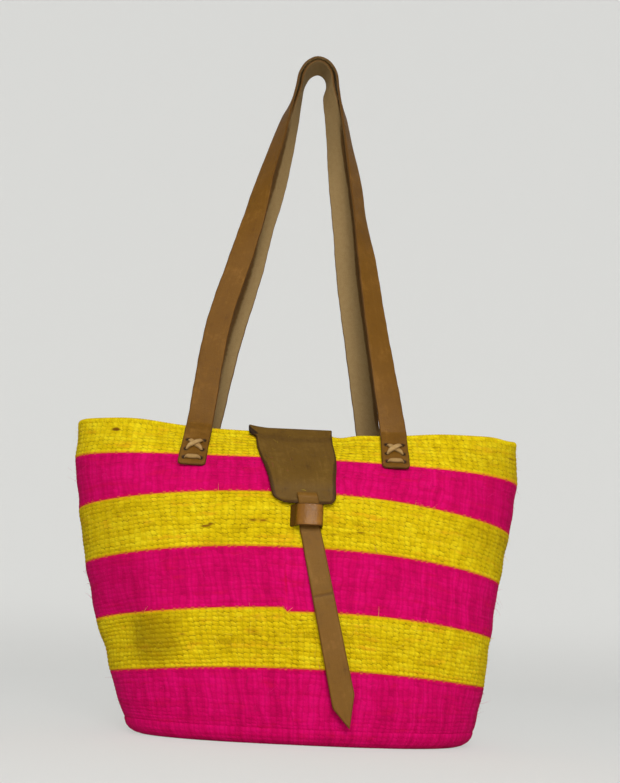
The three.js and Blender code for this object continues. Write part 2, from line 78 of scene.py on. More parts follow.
random = np.random.default_rng(SEED)

# %% [markdown]
# The camera comes first. It stands a little above the floor, close to the basket, and looks up at it,
# tilted by a few degrees, as the photograph was taken.

# %%
# Camera
IMAGE_HEIGHT_PX = 783
FOCAL_PX = 800
SENSOR = 36
CAMERA_PLACE = (-0.006, -0.770, 0.073)
CAMERA_PITCH = 18
CAMERA_ROLL = 2.6

camera_data = bpy.data.cameras.new("camera")
camera_data.sensor_width = SENSOR
camera_data.lens = SENSOR * FOCAL_PX / IMAGE_HEIGHT_PX
camera = bpy.data.objects.new("camera", camera_data)
tilt = Matrix.Rotation(math.radians(90 + CAMERA_PITCH), 4, "X")
roll = Matrix.Rotation(math.radians(CAMERA_ROLL), 4, "Z")
camera.matrix_world = Matrix.Translation(CAMERA_PLACE) @ tilt @ roll
bpy.context.scene.collection.objects.link(camera)
bpy.context.scene.camera = camera
print("lens", round(camera_data.lens, 2))

# %% [markdown]
# The wall of the basket is one formula. A level counts the changes of yarn from the floor's edge up to the
# rim, and an angle goes round from +X. The shares below are of the rim's height, the mouth's width and the
# belly's depth.

# %%
# The woven wall
MOUTH_WIDTH = 0.431
BELLY_DEPTH = 0.158
MOUTH_DEPTH = 0.104
PINCHED_DEPTH = 0.070
RIM_HEIGHT = 0.276
WALL = 0.0045
FLOOR = 0.005
HEM_RADIUS = 0.0034
FLOOR_SHIFT = 0.013

LEVEL_SHARES = {
    "front": [0, 0.047, 0.214, 0.384, 0.569, 0.743, 0.866, 0.966],
    "left": [0, 0.047, 0.178, 0.333, 0.511, 0.692, 0.87, 1],
    "right": [0, 0.047, 0.178, 0.33, 0.502, 0.668, 0.842, 0.995],
    "width": [0.63, 0.713, 0.772, 0.829, 0.889, 0.946, 0.993, 1],
    "depth": [0.74, 0.9, 0.96, 0.985, 1, 0.975, 0.86, MOUTH_DEPTH / BELLY_DEPTH],
    "shift": [1, 1, 0.82, 0.45, 0.16, 0.05, 0, 0],
}
BELLY_LEVEL = 4
RIM_LEVEL = 7
ROUNDNESS = 0.8
DROOP = 2.2
PINCH_FROM = 5
PINCH_CLIMB = 1.5
PINCH_REACH = 0.6
PINCH_SHARPNESS = 6
# The soft basket isn't even. Its ends lean to the left, and they wave: how far, the length and the start of
# each wave. The lower left is fuller, and the front rim rises and falls: how far, where and how wide.
LEAN = 0.0032
END_WAVES = [(0.0004, 0.047, 1.0), (0.0003, 0.027, 4.0)]
LEFT_FULL = (0.0042, 0.100, 0.050)
RIM_WAVES = [
    (0.0022, -0.170, 0.030),
    (-0.0030, 0.024, 0.012),
    (0.0013, 0.115, 0.030),
    (-0.0022, 0.188, 0.012),
]
FRONT_SHARPNESS = 4


def clamp(value):
    return np.clip(value, 0, 1)


def ramp(value, start, length):
    """0 up to the start and 1 from a length past it, or the other way round if the length is negative."""
    return clamp((value - start) / length)


def hump(distance, reach, power=2):
    """1 at no distance, and near 0 past the reach."""
    return np.exp(-((distance / reach) ** power))


def unit(vectors):
    return vectors / np.maximum(np.linalg.norm(vectors, axis=-1, keepdims=True), 1e-12)


def walked(points):
    """How far along a line each of its points is."""
    return np.concatenate([[0], np.cumsum(np.linalg.norm(np.diff(points, axis=0), axis=1))])


def between(values, level):
    """A smooth curve through values, one for each whole level."""
    values = np.asarray(values, float)
    level = np.asarray(level, float)
    before_first = 2 * values[0] - values[1]
    after_last = 2 * values[-1] - values[-2]
    padded = np.concatenate([[before_first], values, [after_last]])
    k = np.clip(np.floor(level).astype(int), 0, len(values) - 2)
    before, here, after, later = (padded[k + i] for i in range(4))
    t = level - k
    rise = (after - before) / 2
    fall = (later - here) / 2
    bend = here - after
    return here + t * (rise + t * (-3 * bend - 2 * rise - fall + t * (2 * bend + rise + fall)))


def share(key, level):
    return between(LEVEL_SHARES[key], level)


def half_width(level, inset):
    return share("width", level) * MOUTH_WIDTH / 2 - inset


def signed_power(value, power):
    return np.sign(value) * np.abs(value) ** power


def skin(level, angle, inset=0.0):
    """Points of the wall at a level and an angle, inset from the outer surface."""
    level = np.asarray(level, float)
    climb = np.maximum(0, level - PINCH_FROM) / (RIM_LEVEL - PINCH_FROM)
    pinch = (1 - PINCHED_DEPTH / MOUTH_DEPTH) * climb**PINCH_CLIMB
    across = signed_power(np.cos(angle), ROUNDNESS)
    squeeze = 1 / (1 + np.abs(across / PINCH_REACH) ** PINCH_SHARPNESS)
    deep = signed_power(np.sin(angle), ROUNDNESS) * (1 - pinch * squeeze)
    front = share("front", level)
    end = np.where(across < 0, share("left", level), share("right", level))
    x = share("shift", level) * FLOOR_SHIFT - FLOOR_SHIFT + across * half_width(level, inset)
    y = deep * (share("depth", level) * BELLY_DEPTH / 2 - inset)
    z = (front + (end - front) * np.abs(across) ** DROOP) * RIM_HEIGHT
    x = x - LEAN * across**2
    near_rim = clamp(level - RIM_LEVEL + 1) ** 2 * clamp(-FRONT_SHARPNESS * np.sin(angle))
    for far, place, reach in RIM_WAVES:
        z = z + near_rim * far * hump(x - place, reach)
    far, place, reach = LEFT_FULL
    x = x - far * np.maximum(0, -across) ** 4 * hump(z - place, reach)
    for far, length, start in END_WAVES:
        x = x + far * across**5 * np.sin(start * (1 + (across < 0)) + 2 * math.pi * z / length)
    return np.stack(np.broadcast_arrays(x, y, z), -1)


def face(side, across, level, inset=0.0):
    """The same, in front (side -1) or behind (side 1), at a distance across from the rim's centre."""
    shift = share("shift", level) * FLOOR_SHIFT
    cosine = signed_power(np.clip((across - shift) / half_width(level, inset), -1, 1), 1 / ROUNDNESS)
    return skin(level, side * np.arccos(cosine), inset)


print("rim ends at", skin(RIM_LEVEL, np.array([0, math.pi])).round(4).tolist())

# %% [markdown]
# Meshes are made from arrays: rings of points, one after the other, become a tube. A weave or a strip of
# leather can have several such parts, which are joined to one piece.

# %%
# Mesh makers
def make_piece(name, points, faces, material, body, values, uv=None):
    """A mesh object that rides on a body, with named numbers and a pair of map places for each point."""
    mesh = bpy.data.meshes.new(name)
    mesh.from_pydata(points.reshape(-1, 3).tolist(), [], faces.tolist())
    mesh.polygons.foreach_set("use_smooth", [True] * len(mesh.polygons))
    if uv is not None:
        corners = np.empty(len(mesh.loops), np.int32)
        mesh.loops.foreach_get("vertex_index", corners)
        layer = mesh.uv_layers.new(name="weave")
        layer.data.foreach_set("uv", uv.astype(np.float32)[corners].ravel())
    for key, numbers in values.items():
        attribute = mesh.attributes.new(key, "FLOAT", "POINT")
        attribute.data.foreach_set("value", numbers.astype(np.float32).ravel())
    mesh.update()
    piece = bpy.data.objects.new(name, mesh)
    bpy.context.scene.collection.objects.link(piece)
    mesh.materials.append(material)
    if body:
        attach(piece, body)
    return piece


def ring_faces(rings, columns):
    """Quads between rings of points, ring after ring."""
    r, c = np.meshgrid(np.arange(rings - 1), np.arange(columns), indexing="ij")
    c2 = (c + 1) % columns
    corners = [r * columns + c, r * columns + c2, (r + 1) * columns + c2, (r + 1) * columns + c]
    return np.stack(corners, -1).reshape(-1, 4)


def joined_piece(name, parts, material, body, nodes, map_step=0.0):
    """One object from several parts, in place of CAD nodes. The map of each part is a step further."""
    counts = np.cumsum([0] + [part["points"].size // 3 for part in parts])
    points = np.concatenate([part["points"].reshape(-1, 3) for part in parts])
    faces = np.concatenate([part["faces"] + start for part, start in zip(parts, counts)])
    uv = np.concatenate([part["uv"].reshape(-1, 2) + map_step * k for k, part in enumerate(parts)])
    marks = {}
    for key in parts[0]["marks"]:
        marks[key] = np.concatenate([part["marks"][key].ravel() for part in parts])
    piece = make_piece(name, points, faces, material, body, marks, uv)
    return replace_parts(piece, *nodes)


# %% [markdown]
# Materials are built from nodes. The helpers below keep that short: a value of the node tree can be added,
# multiplied and so on like a number, and each such step makes a node.

# %%
# Node helpers
def math_node(operation, turned=False):
    """A method that makes a node of a value and another value or number, in turned order if asked."""
    def method(self, *others):
        values = (*others, self) if turned else (self, *others)
        return self.nodes.math(operation, *values)
    return method


class Value:
    """The value of a socket on a node tree."""

    def __init__(self, nodes, socket):
        self.nodes = nodes
        self.socket = socket

    __add__ = math_node("ADD")
    __sub__ = math_node("SUBTRACT")
    __rsub__ = math_node("SUBTRACT", turned=True)
    __mul__ = math_node("MULTIPLY")
    __truediv__ = math_node("DIVIDE")
    __pow__ = math_node("POWER")
    __abs__ = math_node("ABSOLUTE")
    __floor__ = math_node("FLOOR")
    fract = math_node("FRACT")

    def swing(self, amount):
        """A value from 0 to 1 made to swing about 0."""
        return (self - 0.5) * amount


class Nodes:
    def __init__(self, name):
        self.material = bpy.data.materials.new(name)
        self.material.use_nodes = True
        self.tree = self.material.node_tree
        self.shader = self.tree.nodes["Principled BSDF"]

    def put(self, socket, value):
        if isinstance(value, Value):
            self.tree.links.new(value.socket, socket)
        else:
            socket.default_value = value

    def new(self, kind, inputs=(), output=0, **settings):
        """A new node with its inputs, by number or name, and the value of one of its outputs."""
        node = self.tree.nodes.new(kind)
        for key, setting in settings.items():
            setattr(node, key, setting)
        for key, value in inputs.items() if isinstance(inputs, dict) else enumerate(inputs):
            self.put(node.inputs[key], value)
        return Value(self, node.outputs[output])

    def math(self, operation, *values):
        return self.new("ShaderNodeMath", values, operation=operation)

    def smooth(self, value, low, high, to_low=0.0, to_high=1.0):
        inputs = {"From Min": low, "From Max": high, "To Min": to_low, "To Max": to_high, "Value": value}
        return self.new("ShaderNodeMapRange", inputs, "Result", interpolation_type="SMOOTHSTEP")

    def value(self, name):
        return self.new("ShaderNodeAttribute", (), "Fac", attribute_name=name)

    def uv(self):
        split = self.new("ShaderNodeSeparateXYZ", [self.new("ShaderNodeUVMap", uv_map="weave")])
        return split, Value(self, split.socket.node.outputs[1])

    def vector(self, x, y, z=0.0):
        return self.new("ShaderNodeCombineXYZ", (x, y, z))

    def noise(self, vector, scale, detail, roughness):
        inputs = {"Vector": vector, "Scale": scale, "Detail": detail, "Roughness": roughness}
        return self.new("ShaderNodeTexNoise", inputs, "Fac")

    def dots(self, vector, scale):
        return self.new("ShaderNodeTexVoronoi", {"Vector": vector, "Scale": scale}, "Distance")

    def chance(self, x, y):
        """A number from 0 to 1 that is the same for the same x and y."""
        inputs = {"Vector": self.vector(x, y)}
        return self.new("ShaderNodeTexWhiteNoise", inputs, "Value", noise_dimensions="2D")

    def mix(self, factor, first, second):
        node = self.new("ShaderNodeMix", {"Factor": factor}, data_type="RGBA").socket.node
        colors = [socket for socket in node.inputs if socket.type == "RGBA"]
        for socket, color in zip(colors, (first, second)):
            self.put(socket, color)
        return Value(self, [socket for socket in node.outputs if socket.type == "RGBA"][0])

    def bump(self, height, distance, strength=1.0):
        inputs = {"Distance": distance, "Strength": strength, "Height": height}
        self.put(self.shader.inputs["Normal"], self.new("ShaderNodeBump", inputs, "Normal"))

    def look(self, color, roughness, **settings):
        self.put(self.shader.inputs["Base Color"], color)
        self.put(self.shader.inputs["Roughness"], roughness)
        for key, value in settings.items():
            self.shader.inputs[key.replace("_", " ")].default_value = value
        return self.material


def srgb(*channels):
    """A colour typed as it reads in a picture, 0 to 255, made linear."""
    shares = [channel / 255 for channel in channels]
    linear = [c / 12.92 if c <= 0.04045 else ((c + 0.055) / 1.055) ** 2.4 for c in shares]
    return (*linear, 1.0)


# %% [markdown]
# Sisal yarn. U counts the warp ribs round the basket and V counts the rows of weft up it, so one whole
# square of the map is one stitch. Painted shade darkens the gaps between the rows where the yarn is loose,
# and between the ribs; the gaps close up where the yarn is packed. Each stitch has its own tone, and fine
# fibres run along the yarn. A thin line of beads in the other dye marks each change of colour, slubs are
# darker, redder fibres spun into the yarn, and painted shade darkens a few places: the fold of a dent at the
# lower left, the left end and the upper part of the right end.

# %%
# Woven materials
# Each place of painted shade is its rib and row, how many ribs and rows it covers, and how dark it is
SHADED_PLACES = [
    (103.5, 18.5, 4.8, 6.0, 0.5),
    (107.5, 20.5, 3.0, 5.0, 0.3),
    (92.0, 36.0, 13.0, 30.0, 0.22),
    (166.0, 58.0, 11.0, 20.0, 0.26),
    (-6.0, 58.0, 11.0, 20.0, 0.26),
]
# The colours of a yarn: light, middle and dark, stained, of the beads and of the slubs
YELLOW = [(250, 226, 30), (230, 198, 8), (140, 108, 2), (240, 162, 28), (206, 36, 62), (120, 62, 18)]
MAGENTA = [(222, 8, 108), (206, 3, 92), (162, 1, 66), (206, 14, 66), (226, 120, 40), (200, 8, 44)]


def sisal(name, colors, row_gap_shade, rib_gap_shade, streaks, bump, offset=0.0):
    light, mid, dark, stain, bead, slub = (srgb(*color) for color in colors)
    n = Nodes(name)
    u, v = n.uv()
    row = v + u.fract().swing(0.3)
    column = n.chance(math.floor(u + 0.5), 3.0)
    u = u + n.chance(math.floor(row), 8.0) * offset
    across_row = abs(row.fract() * 2.0 - 1.0)
    along_row = abs(u.fract() * 2.0 - 1.0)
    tone = n.chance(math.floor(u), math.floor(row))
    fibre = n.noise(n.vector(u * 2.6, row * 8.0), 1.0, 3, 0.65)
    patch = n.noise(n.vector(u * 0.09, v * 0.13), 1.0, 3, 0.6)
    pull = n.noise(n.vector(u * 0.75, v * 0.09), 1.0, 2, 0.55)
    batch = n.noise(n.vector(u * 0.025, v * 0.75), 1.0, 2, 0.5)
    loose = n.noise(n.vector(u * 0.9, math.floor(row + 0.5) * 7.3), 1.0, 3, 0.7)
    tint = n.noise(n.vector(u * 0.16, v * 0.5, 4.0), 1.0, 3, 0.6)
    opened = n.smooth(loose, 0.4, 0.62, 0.2, 1.0) * n.smooth(along_row, 0.1, 0.9, 0.45, 1.0)
    # Painted shade in the gaps between the rows, where the yarn is loose, and between the ribs
    gap_shade = n.smooth(across_row, 0.6, 1.0, 0, row_gap_shade) * opened
    gap_shade = n.math("MAXIMUM", gap_shade, n.smooth(along_row, 0.5, 1.0, 0, rib_gap_shade))
    bright = tone.swing(0.45) + fibre.swing(1.7) + patch.swing(0.9) + batch.swing(1.1)
    bright = bright + pull.swing(streaks) + column.swing(streaks * 0.35)
    color = n.mix(n.smooth(bright, -0.15, 0.6), mid, light)
    color = n.mix(n.smooth(bright, -0.8, -0.05, 0.6, 0), color, dark)
    color = n.mix(n.smooth(tint, 0.52, 0.78, 0, 0.55), color, stain)
    color = n.mix(gap_shade, color, dark)
    # Painted shade: the fold of a dent at the lower left, the left end and the upper part of the right end
    for at_rib, at_row, wide, high, strength in SHADED_PLACES:
        aside = (u - at_rib) / wide
        above = (v - at_row) / high
        color = n.mix(n.smooth(aside * aside + above * above, 0.0, 1.8, strength, 0), color, dark)
    edge = n.value("change")
    color = n.mix(n.smooth(edge, 0.15, 0.6, 0.8, 0), color, stain)
    beads = n.smooth(along_row, 0.35, 0.75) * n.smooth(edge, 0.1, 0.42, 1, 0)
    beads = beads * n.smooth(n.chance(math.floor(u + 0.5), 5.0), 0.3, 0.9, 0.0, 0.7)
    color = n.mix(beads, color, bead)
    spun = n.value("slub") * (fibre + 0.3)
    color = n.mix(n.smooth(spun, 0.12, 0.6, 0, 0.9), color, slub)
    round_row = 1.0 - across_row**2.5
    round_rib = 1.0 - along_row**3.0 * 0.5
    n.bump(round_row * round_rib * (opened + 0.3) + fibre * 0.9, bump)
    return n.look(color, 0.85, Specular_IOR_Level=0.06)


yellow = sisal("yellow_sisal", YELLOW, row_gap_shade=0.9, rib_gap_shade=0.17, streaks=0.6, bump=0.0008, offset=0.12)
yellow_hem = sisal("yellow_hem", YELLOW, row_gap_shade=0.4, rib_gap_shade=0.05, streaks=0.3, bump=0.0005)
magenta = sisal("magenta_sisal", MAGENTA, row_gap_shade=0.24, rib_gap_shade=0.26, streaks=1.5, bump=0.00035)
print("woven materials:", yellow.name, yellow_hem.name, magenta.name)

# %% [markdown]
# The weave itself is real relief: every row of weft bulges over every warp rib. The grid has four points to
# a stitch each way outside, fewer inside. A few shallow dents break the even curve, as soft weaving has.
# The weft goes round in a spiral, so a change of yarn leaves a step. One of them shows in front.

# %%
# Weave
RIBS = 172
ROWS = np.array([12, 13, 14, 13, 11, 8])
ROW_STARTS = np.concatenate([[0], np.cumsum(ROWS)])
ROW_RELIEF = 0.0007
RIB_RELIEF = 0.0002
MAGENTA_RELIEF = 0.35
# The yarn is sunk into the wall by a share of its bulge, and stands out less near a change of yarn
SUNK = 0.6
CALM_ROWS = 1.5
EDGE_RELIEF = 0.3
RIB_SAMPLES = 2881
MORE_SLUBS = 40
STITCH_STEPS = 4
INSIDE_STEPS = 2
BASE_STEPS = 3
BASE_EDGE_ROWS = 5
BASE_RINGS = 16
BASE_STEEPNESS = 5
# The hem is a roll from one turn to another, and the last rows of the wall swell toward it
HEM_STEPS = 14
HEM_RIB_STEPS = 6
HEM_FROM = math.radians(-45)
HEM_TO = math.radians(225)
HEM_ROWS = 2.2
HEM_SWELL = 0.0011
HEM_RELIEF = 0.0005
HEM_LEAN = 0.35
HEM_FADE = 0.5
HEM_MAP = 1.1
# Hand-woven stitches stray in waves: how far, waves round the basket, turn for a row of weft, and start
STRAY_UP = [(0.16, 7, 0.35, 0), (0.09, 19, -0.6, 1), (0.05, 43, 1.7, 2), (0.05, 87, -2.9, 0)]
STRAY_ALONG = [(0.3, 5, 0.22, 2), (0.12, 29, 0.9, 0)]
# The seam in front: where it is, by how much it steps up and down beside it, and how far that reaches
SEAM_RIB = 127.4
SEAM_ROW = 25
SEAM_STEP = 0.5
SEAM_REACH = (14, 7)
# Each slub is its rib and row, how many ribs and rows it covers, and how strong it is
SLUBS = [
    (SEAM_RIB + 0.3, 31, 0.3, 5.0, 0.55),
    (115.2, 43.5, 0.9, 0.32, 0.9),
    (116.0, 43.9, 0.5, 0.4, 0.8),
    (122.7, 44.7, 0.9, 0.4, 0.7),
    (124.3, 44.7, 0.7, 0.4, 0.7),
    (139.7, 43.3, 1.0, 0.35, 0.6),
    (100.0, 69.2, 0.8, 0.5, 1.1),
    (165.5, 68.0, 1.6, 0.4, 0.6),
]
for _ in range(MORE_SLUBS):
    band = random.choice([1, 3, 5])
    at_row = random.uniform(ROW_STARTS[band] + 2, ROW_STARTS[band + 1] - 1)
    SLUBS.append((random.uniform(0, RIBS), at_row, random.uniform(0.4, 1.2), 0.35, random.uniform(0.3, 0.7)))
# Each dent is in front (-1) or behind (1), its place across and its height, how wide it is and how deep
DENTS = [
    (-1, -0.160, 0.085, 0.021, 0.0095),
    (-1, -0.120, 0.080, 0.022, -0.0050),
    (-1, -0.180, 0.120, 0.030, 0.0030),
    (-1, 0.070, 0.120, 0.055, 0.0022),
    (-1, -0.060, 0.150, 0.060, -0.0018),
    (-1, 0.120, 0.200, 0.040, 0.0020),
    (1, 0.040, 0.110, 0.050, 0.0030),
    (1, -0.110, 0.160, 0.050, 0.0025),
]


def rib_angles(ribs):
    """Angles for rib numbers, evenly spaced round the belly."""
    fine = np.linspace(0, 2 * math.pi, RIB_SAMPLES)
    places = walked(skin(BELLY_LEVEL, fine))
    return np.interp(ribs / RIBS * places[-1], places, fine)


def level_of_row(row, top):
    """The level of a row of weft. The last band ends at top, which may differ from rib to rib."""
    band = np.clip(np.searchsorted(ROW_STARTS, row, side="right") - 1, 0, len(ROWS) - 1)
    part = (row - ROW_STARTS[band]) / ROWS[band]
    height = np.where(band == len(ROWS) - 1, top - (RIM_LEVEL - 1), 1.0)
    return 1 + band + part * height


def hem_start(angle):
    """The level where the wall turns into the hem."""
    height = skin(RIM_LEVEL, angle)[..., 2] - skin(RIM_LEVEL - 1, angle)[..., 2]
    return RIM_LEVEL - HEM_RADIUS * math.sin(-HEM_FROM) / height


def rows_from(rows, changes):
    return np.min([np.abs(rows - change) for change in changes], axis=0)


def wander(ribs, rows):
    """Where stitches are, in ribs and rows, once they stray. They don't where the yarn changes."""
    turn = ribs / RIBS * 2 * math.pi
    up, along = (
        sum(far * np.sin(waves * turn + climb * rows + start) for far, waves, climb, start in stray)
        for stray in (STRAY_UP, STRAY_ALONG)
    )
    return ribs + along, rows + up * clamp(rows_from(rows, ROW_STARTS) / CALM_ROWS)


def seam_step(ribs, rows):
    """How many rows the weave steps up on the left of the seam and down on its right."""
    apart = ribs - SEAM_RIB
    fade = np.exp(-np.abs(apart) / SEAM_REACH[0]) * clamp(1 - np.abs(rows - SEAM_ROW) / SEAM_REACH[1])
    return -np.clip(apart * 4, -1, 1) * SEAM_STEP * fade


def bulge(numbers):
    """Round humps between whole numbers."""
    return 1 - np.abs(2 * (numbers % 1) - 1) ** 2


def relief(ribs, rows):
    """How far the yarn stands out, for each rib and row number."""
    along, over = (bulge(numbers) for numbers in wander(ribs, rows))
    return (over - SUNK) * ROW_RELIEF * (0.7 + 0.3 * along) + (along - SUNK) * RIB_RELIEF


def dented(points, normals):
    moved = points.copy()
    for side, x, z, reach, deep in DENTS:
        near = np.exp(-(((points[..., 0] - x) ** 2 + (points[..., 2] - z) ** 2) / reach**2))
        near = near * (np.sign(points[..., 1]) == side)
        moved -= normals * (near * deep)[..., None]
    return moved


def outward(level, angle):
    """The way out of the wall."""
    step = 0.01
    up = skin(np.minimum(level + step, RIM_LEVEL), angle) - skin(np.maximum(level - step, 0), angle)
    along = skin(level, angle + step) - skin(level, angle - step)
    return unit(np.cross(along, up))


def sheet(points, ribs, rows, change=3.0, slub=0.0, turned=False):
    """Rings of weave, with a map in ribs and rows, the rows to a change of yarn, and slubs."""
    faces = ring_faces(*points.shape[:2])
    uv = np.stack([ribs, rows], -1)
    marks = {key: np.broadcast_to(mark, ribs.shape) for key, mark in (("change", change), ("slub", slub))}
    return {"points": points, "faces": faces[:, ::-1] if turned else faces, "uv": uv, "marks": marks}


def wall_sheet(band, inside, relief_share):
    """One band of the weave, outside or inside."""
    steps = INSIDE_STEPS if inside else STITCH_STEPS
    ribs = np.arange(RIBS * steps) / steps
    rows = np.arange(ROW_STARTS[band] * steps, ROW_STARTS[band + 1] * steps + 1) / steps
    rib, row = np.meshgrid(ribs, rows)
    angle = rib_angles(rib)
    level = level_of_row(row + seam_step(rib, row), hem_start(angle))
    out = outward(level, angle)
    points = dented(skin(level, angle, WALL if inside else 0.0), out)
    side = -1 if inside else 1
    below_hem = ROW_STARTS[-1] - row
    points += out * (side * HEM_SWELL * clamp(1 - below_hem / HEM_ROWS) ** 2)[..., None]
    fade = clamp(below_hem / CALM_ROWS) * clamp(row / CALM_ROWS)
    points += out * (side * relief(rib, row) * relief_share * np.maximum(fade, EDGE_RELIEF))[..., None]
    slub = np.zeros(rib.shape)
    slubs = [] if inside else SLUBS
    for at_rib, at_row, wide, high, strength in slubs:
        apart = ((rib - at_rib) / wide) ** 2 + ((row - at_row) / high) ** 2
        slub = np.maximum(slub, strength * np.exp(-apart))
    change = np.minimum(rows_from(row, ROW_STARTS[1:-1]), 3)
    return sheet(points, *wander(rib, row), change, slub, turned=inside)


def base_sheets():
    """The rounded lower edge, the underside and the floor, in rings that shrink to a line."""
    ribs = np.arange(RIBS * BASE_STEPS) / BASE_STEPS
    angle = rib_angles(ribs)
    floor_ring, corner_ring = skin(0, angle), skin(1, angle)
    rows = np.arange(BASE_EDGE_ROWS * BASE_STEPS + 1) / BASE_STEPS - BASE_EDGE_ROWS
    edge = []
    for turn in np.linspace(0, math.pi / 2, len(rows)):
        part = [math.sin(turn), math.sin(turn), 1 - math.cos(turn)]
        edge.append(floor_ring + (corner_ring - floor_ring) * part)
    edge = np.array(edge)
    rib, row = np.meshgrid(ribs, rows)
    out = unit(np.cross(np.roll(edge, -1, 1) - np.roll(edge, 1, 1), np.gradient(edge, axis=0)))
    edge = edge + out * (relief(rib, row) * MAGENTA_RELIEF)[..., None]
    edge[..., 2] = np.maximum(edge[..., 2], 0)
    sheets = [sheet(edge, rib, row)]
    shrink = np.arange(BASE_RINGS * 2 + 1) / (BASE_RINGS * 2)
    rib, row = np.meshgrid(ribs, -BASE_EDGE_ROWS - shrink * BASE_RINGS)
    bumps = relief(rib, row)
    rise = clamp(1 - shrink * BASE_STEEPNESS) ** 2
    for inside, ring, level in ((False, edge[0], 0.0), (True, skin(1, angle, WALL), FLOOR)):
        far = ring[:, 0].max() - np.abs(ring[:, 1]).max()
        middle = np.zeros(ring.shape)
        middle[:, 0] = np.clip(ring[:, 0], -far, far)
        points = ring[None] + (middle - ring)[None] * shrink[:, None, None]
        points[..., 2] = level + (ring[:, 2][None] - level) * rise[:, None]
        points[..., 2] += (bumps if inside else np.maximum(0, -bumps)) * (1 - rise[:, None])
        sheets.append(sheet(points, rib, row, turned=not inside))
    return sheets


def hem_sheet():
    """The hem rolls over the rim. Its stitches cross it, two to each rib."""
    ribs = np.arange(RIBS * HEM_RIB_STEPS) / HEM_RIB_STEPS
    angle = rib_angles(ribs)
    middle = skin(RIM_LEVEL, angle, WALL / 2)
    out = unit(skin(RIM_LEVEL, angle) - middle)
    rib, turn = np.meshgrid(ribs, np.linspace(HEM_FROM, HEM_TO, HEM_STEPS + 1))
    stitch = 2 * rib + HEM_LEAN * turn / math.pi
    fade = clamp(np.minimum(turn - HEM_FROM, HEM_TO - turn) / HEM_FADE)
    radius = HEM_RADIUS + (bulge(stitch) - SUNK) * HEM_RELIEF * fade
    points = middle[None] + out[None] * (np.cos(turn) * radius)[..., None]
    points[..., 2] += np.sin(turn) * radius
    return sheet(points, turn * HEM_MAP, stitch)


BANDS = [
    ("weave_magenta_low", "magenta_band_lower"),
    ("weave_yellow_low", "yellow_band_lower"),
    ("weave_magenta_middle", "magenta_band_middle"),
    ("weave_yellow_high", "yellow_band_upper"),
    ("weave_magenta_high", "magenta_band_upper"),
    ("weave_yellow_rim", "yellow_band_rim"),
]
YARNS = [(magenta, "magenta_sisal", MAGENTA_RELIEF), (yellow, "yellow_sisal", 1.0)]
for band, (name, node) in enumerate(BANDS):
    material, slot, relief_share = YARNS[band % 2]
    sheets = [wall_sheet(band, inside, relief_share) for inside in (False, True)]
    joined_piece(name, sheets, material, "basket", [node])
joined_piece("weave_base", base_sheets(), magenta, "basket", ["woven_base"])
joined_piece("weave_hem", [hem_sheet()], yellow_hem, "basket", ["rim_hem"])
print("rows of weft", int(ROW_STARTS[-1]), "ribs", RIBS)

# %% [markdown]
# Leather is dyed in the hide, so its colour drifts in soft blotches, and its grain is a net of tiny cells.
# The cut edges are darker, and the same dark mark also carries painted shade on the flap, the keeper, the
# tongue's crease and the rear strap; holes get painted shade too. The flesh side is rougher, paler on the
# straps and darker on the other pieces, and handling leaves a dull polish. One recipe takes the colours of
# each piece.
# The map of a strip is in metres, along it and across it.

# %%
# Leather
# Painted shade in the lacing holes and in the hollow under the flap's curled edge takes this colour
HOLE_SHADE = srgb(38, 24, 12)


def leather(name, colors, roughness, edge_shade=0.55, coat=0.0):
    light, mid, dark, flesh = (srgb(*color) for color in colors)
    n = Nodes(name)
    along, across = n.uv()
    field = n.vector(along, across)
    patch = n.noise(field, 38, 3, 0.55)
    cloud = n.noise(field, 190, 3, 0.6)
    speck = n.noise(field, 1300, 2, 0.6)
    drawn = n.noise(n.vector(along * 25, across * 420), 1.0, 3, 0.6)
    wrinkle = n.noise(n.vector(along * 2.2, across), 260, 4, 0.65)
    tone = patch * 0.75 + cloud * 0.45 + drawn * 0.28 + speck * 0.16
    color = n.mix(n.smooth(tone, 0.4, 0.8), dark, mid)
    color = n.mix(n.smooth(tone, 0.8, 1.12), color, light)
    suede = n.mix(n.smooth(speck + cloud * 0.6, 0.45, 1.05, 0.6, 1.0), mid, flesh)
    color = n.mix(n.value("flesh"), color, suede)
    # The edge mark darkens cut edges, and is painted shade where a piece marks shade with it
    wear_and_shade = n.value("edge") + cloud.swing(0.8)
    color = n.mix(n.smooth(wear_and_shade, 0.35, 1.0, 0, edge_shade), color, dark)
    color = n.mix(n.smooth(n.value("hole"), 0.1, 0.75, 0, 0.92), color, HOLE_SHADE)
    pits = n.smooth(n.dots(field, 1150), 0.0, 0.55) * 0.5
    n.bump(pits + wrinkle * 0.9 + cloud * 0.8, 0.0003, 0.8)
    gloss = cloud.swing(0.3) + roughness + n.value("flesh") * 0.25
    return n.look(color, gloss, Specular_IOR_Level=0.14, Coat_Weight=coat, Coat_Roughness=0.3)


# Each leather is its light, middle, dark and flesh colours, its roughness, how dark its edges are, its coat
LEATHERS = {
    "strap_leather": ([(134, 92, 34), (112, 74, 18), (84, 52, 12), (151, 126, 84)], 0.5, 0.8),
    # The flap's dark flesh colour is painted shade for its underside, which shows where its edges curl up
    "flap_leather": ([(122, 91, 36), (102, 73, 21), (62, 38, 10), (60, 40, 20)], 0.55, 0.85),
    "tongue_leather": ([(142, 101, 44), (122, 84, 27), (86, 54, 16), (90, 62, 32)], 0.5),
    "keeper_leather": ([(158, 106, 38), (127, 82, 22), (70, 40, 10), (64, 40, 14)], 0.32, 0.85, 0.08),
    "lacing_leather": ([(206, 172, 118), (170, 134, 82), (96, 68, 32), (140, 108, 62)], 0.65),
}
leathers = {name: leather(name, *recipe) for name, recipe in LEATHERS.items()}
print("leathers:", len(leathers))

# %% [markdown]
# Every leather piece is a strip: two edge lines, a grain side and a thickness. Its section is a flat
# rectangle with small rounded corners, and its rows lie close together at the ends, where corners are cut
# round.

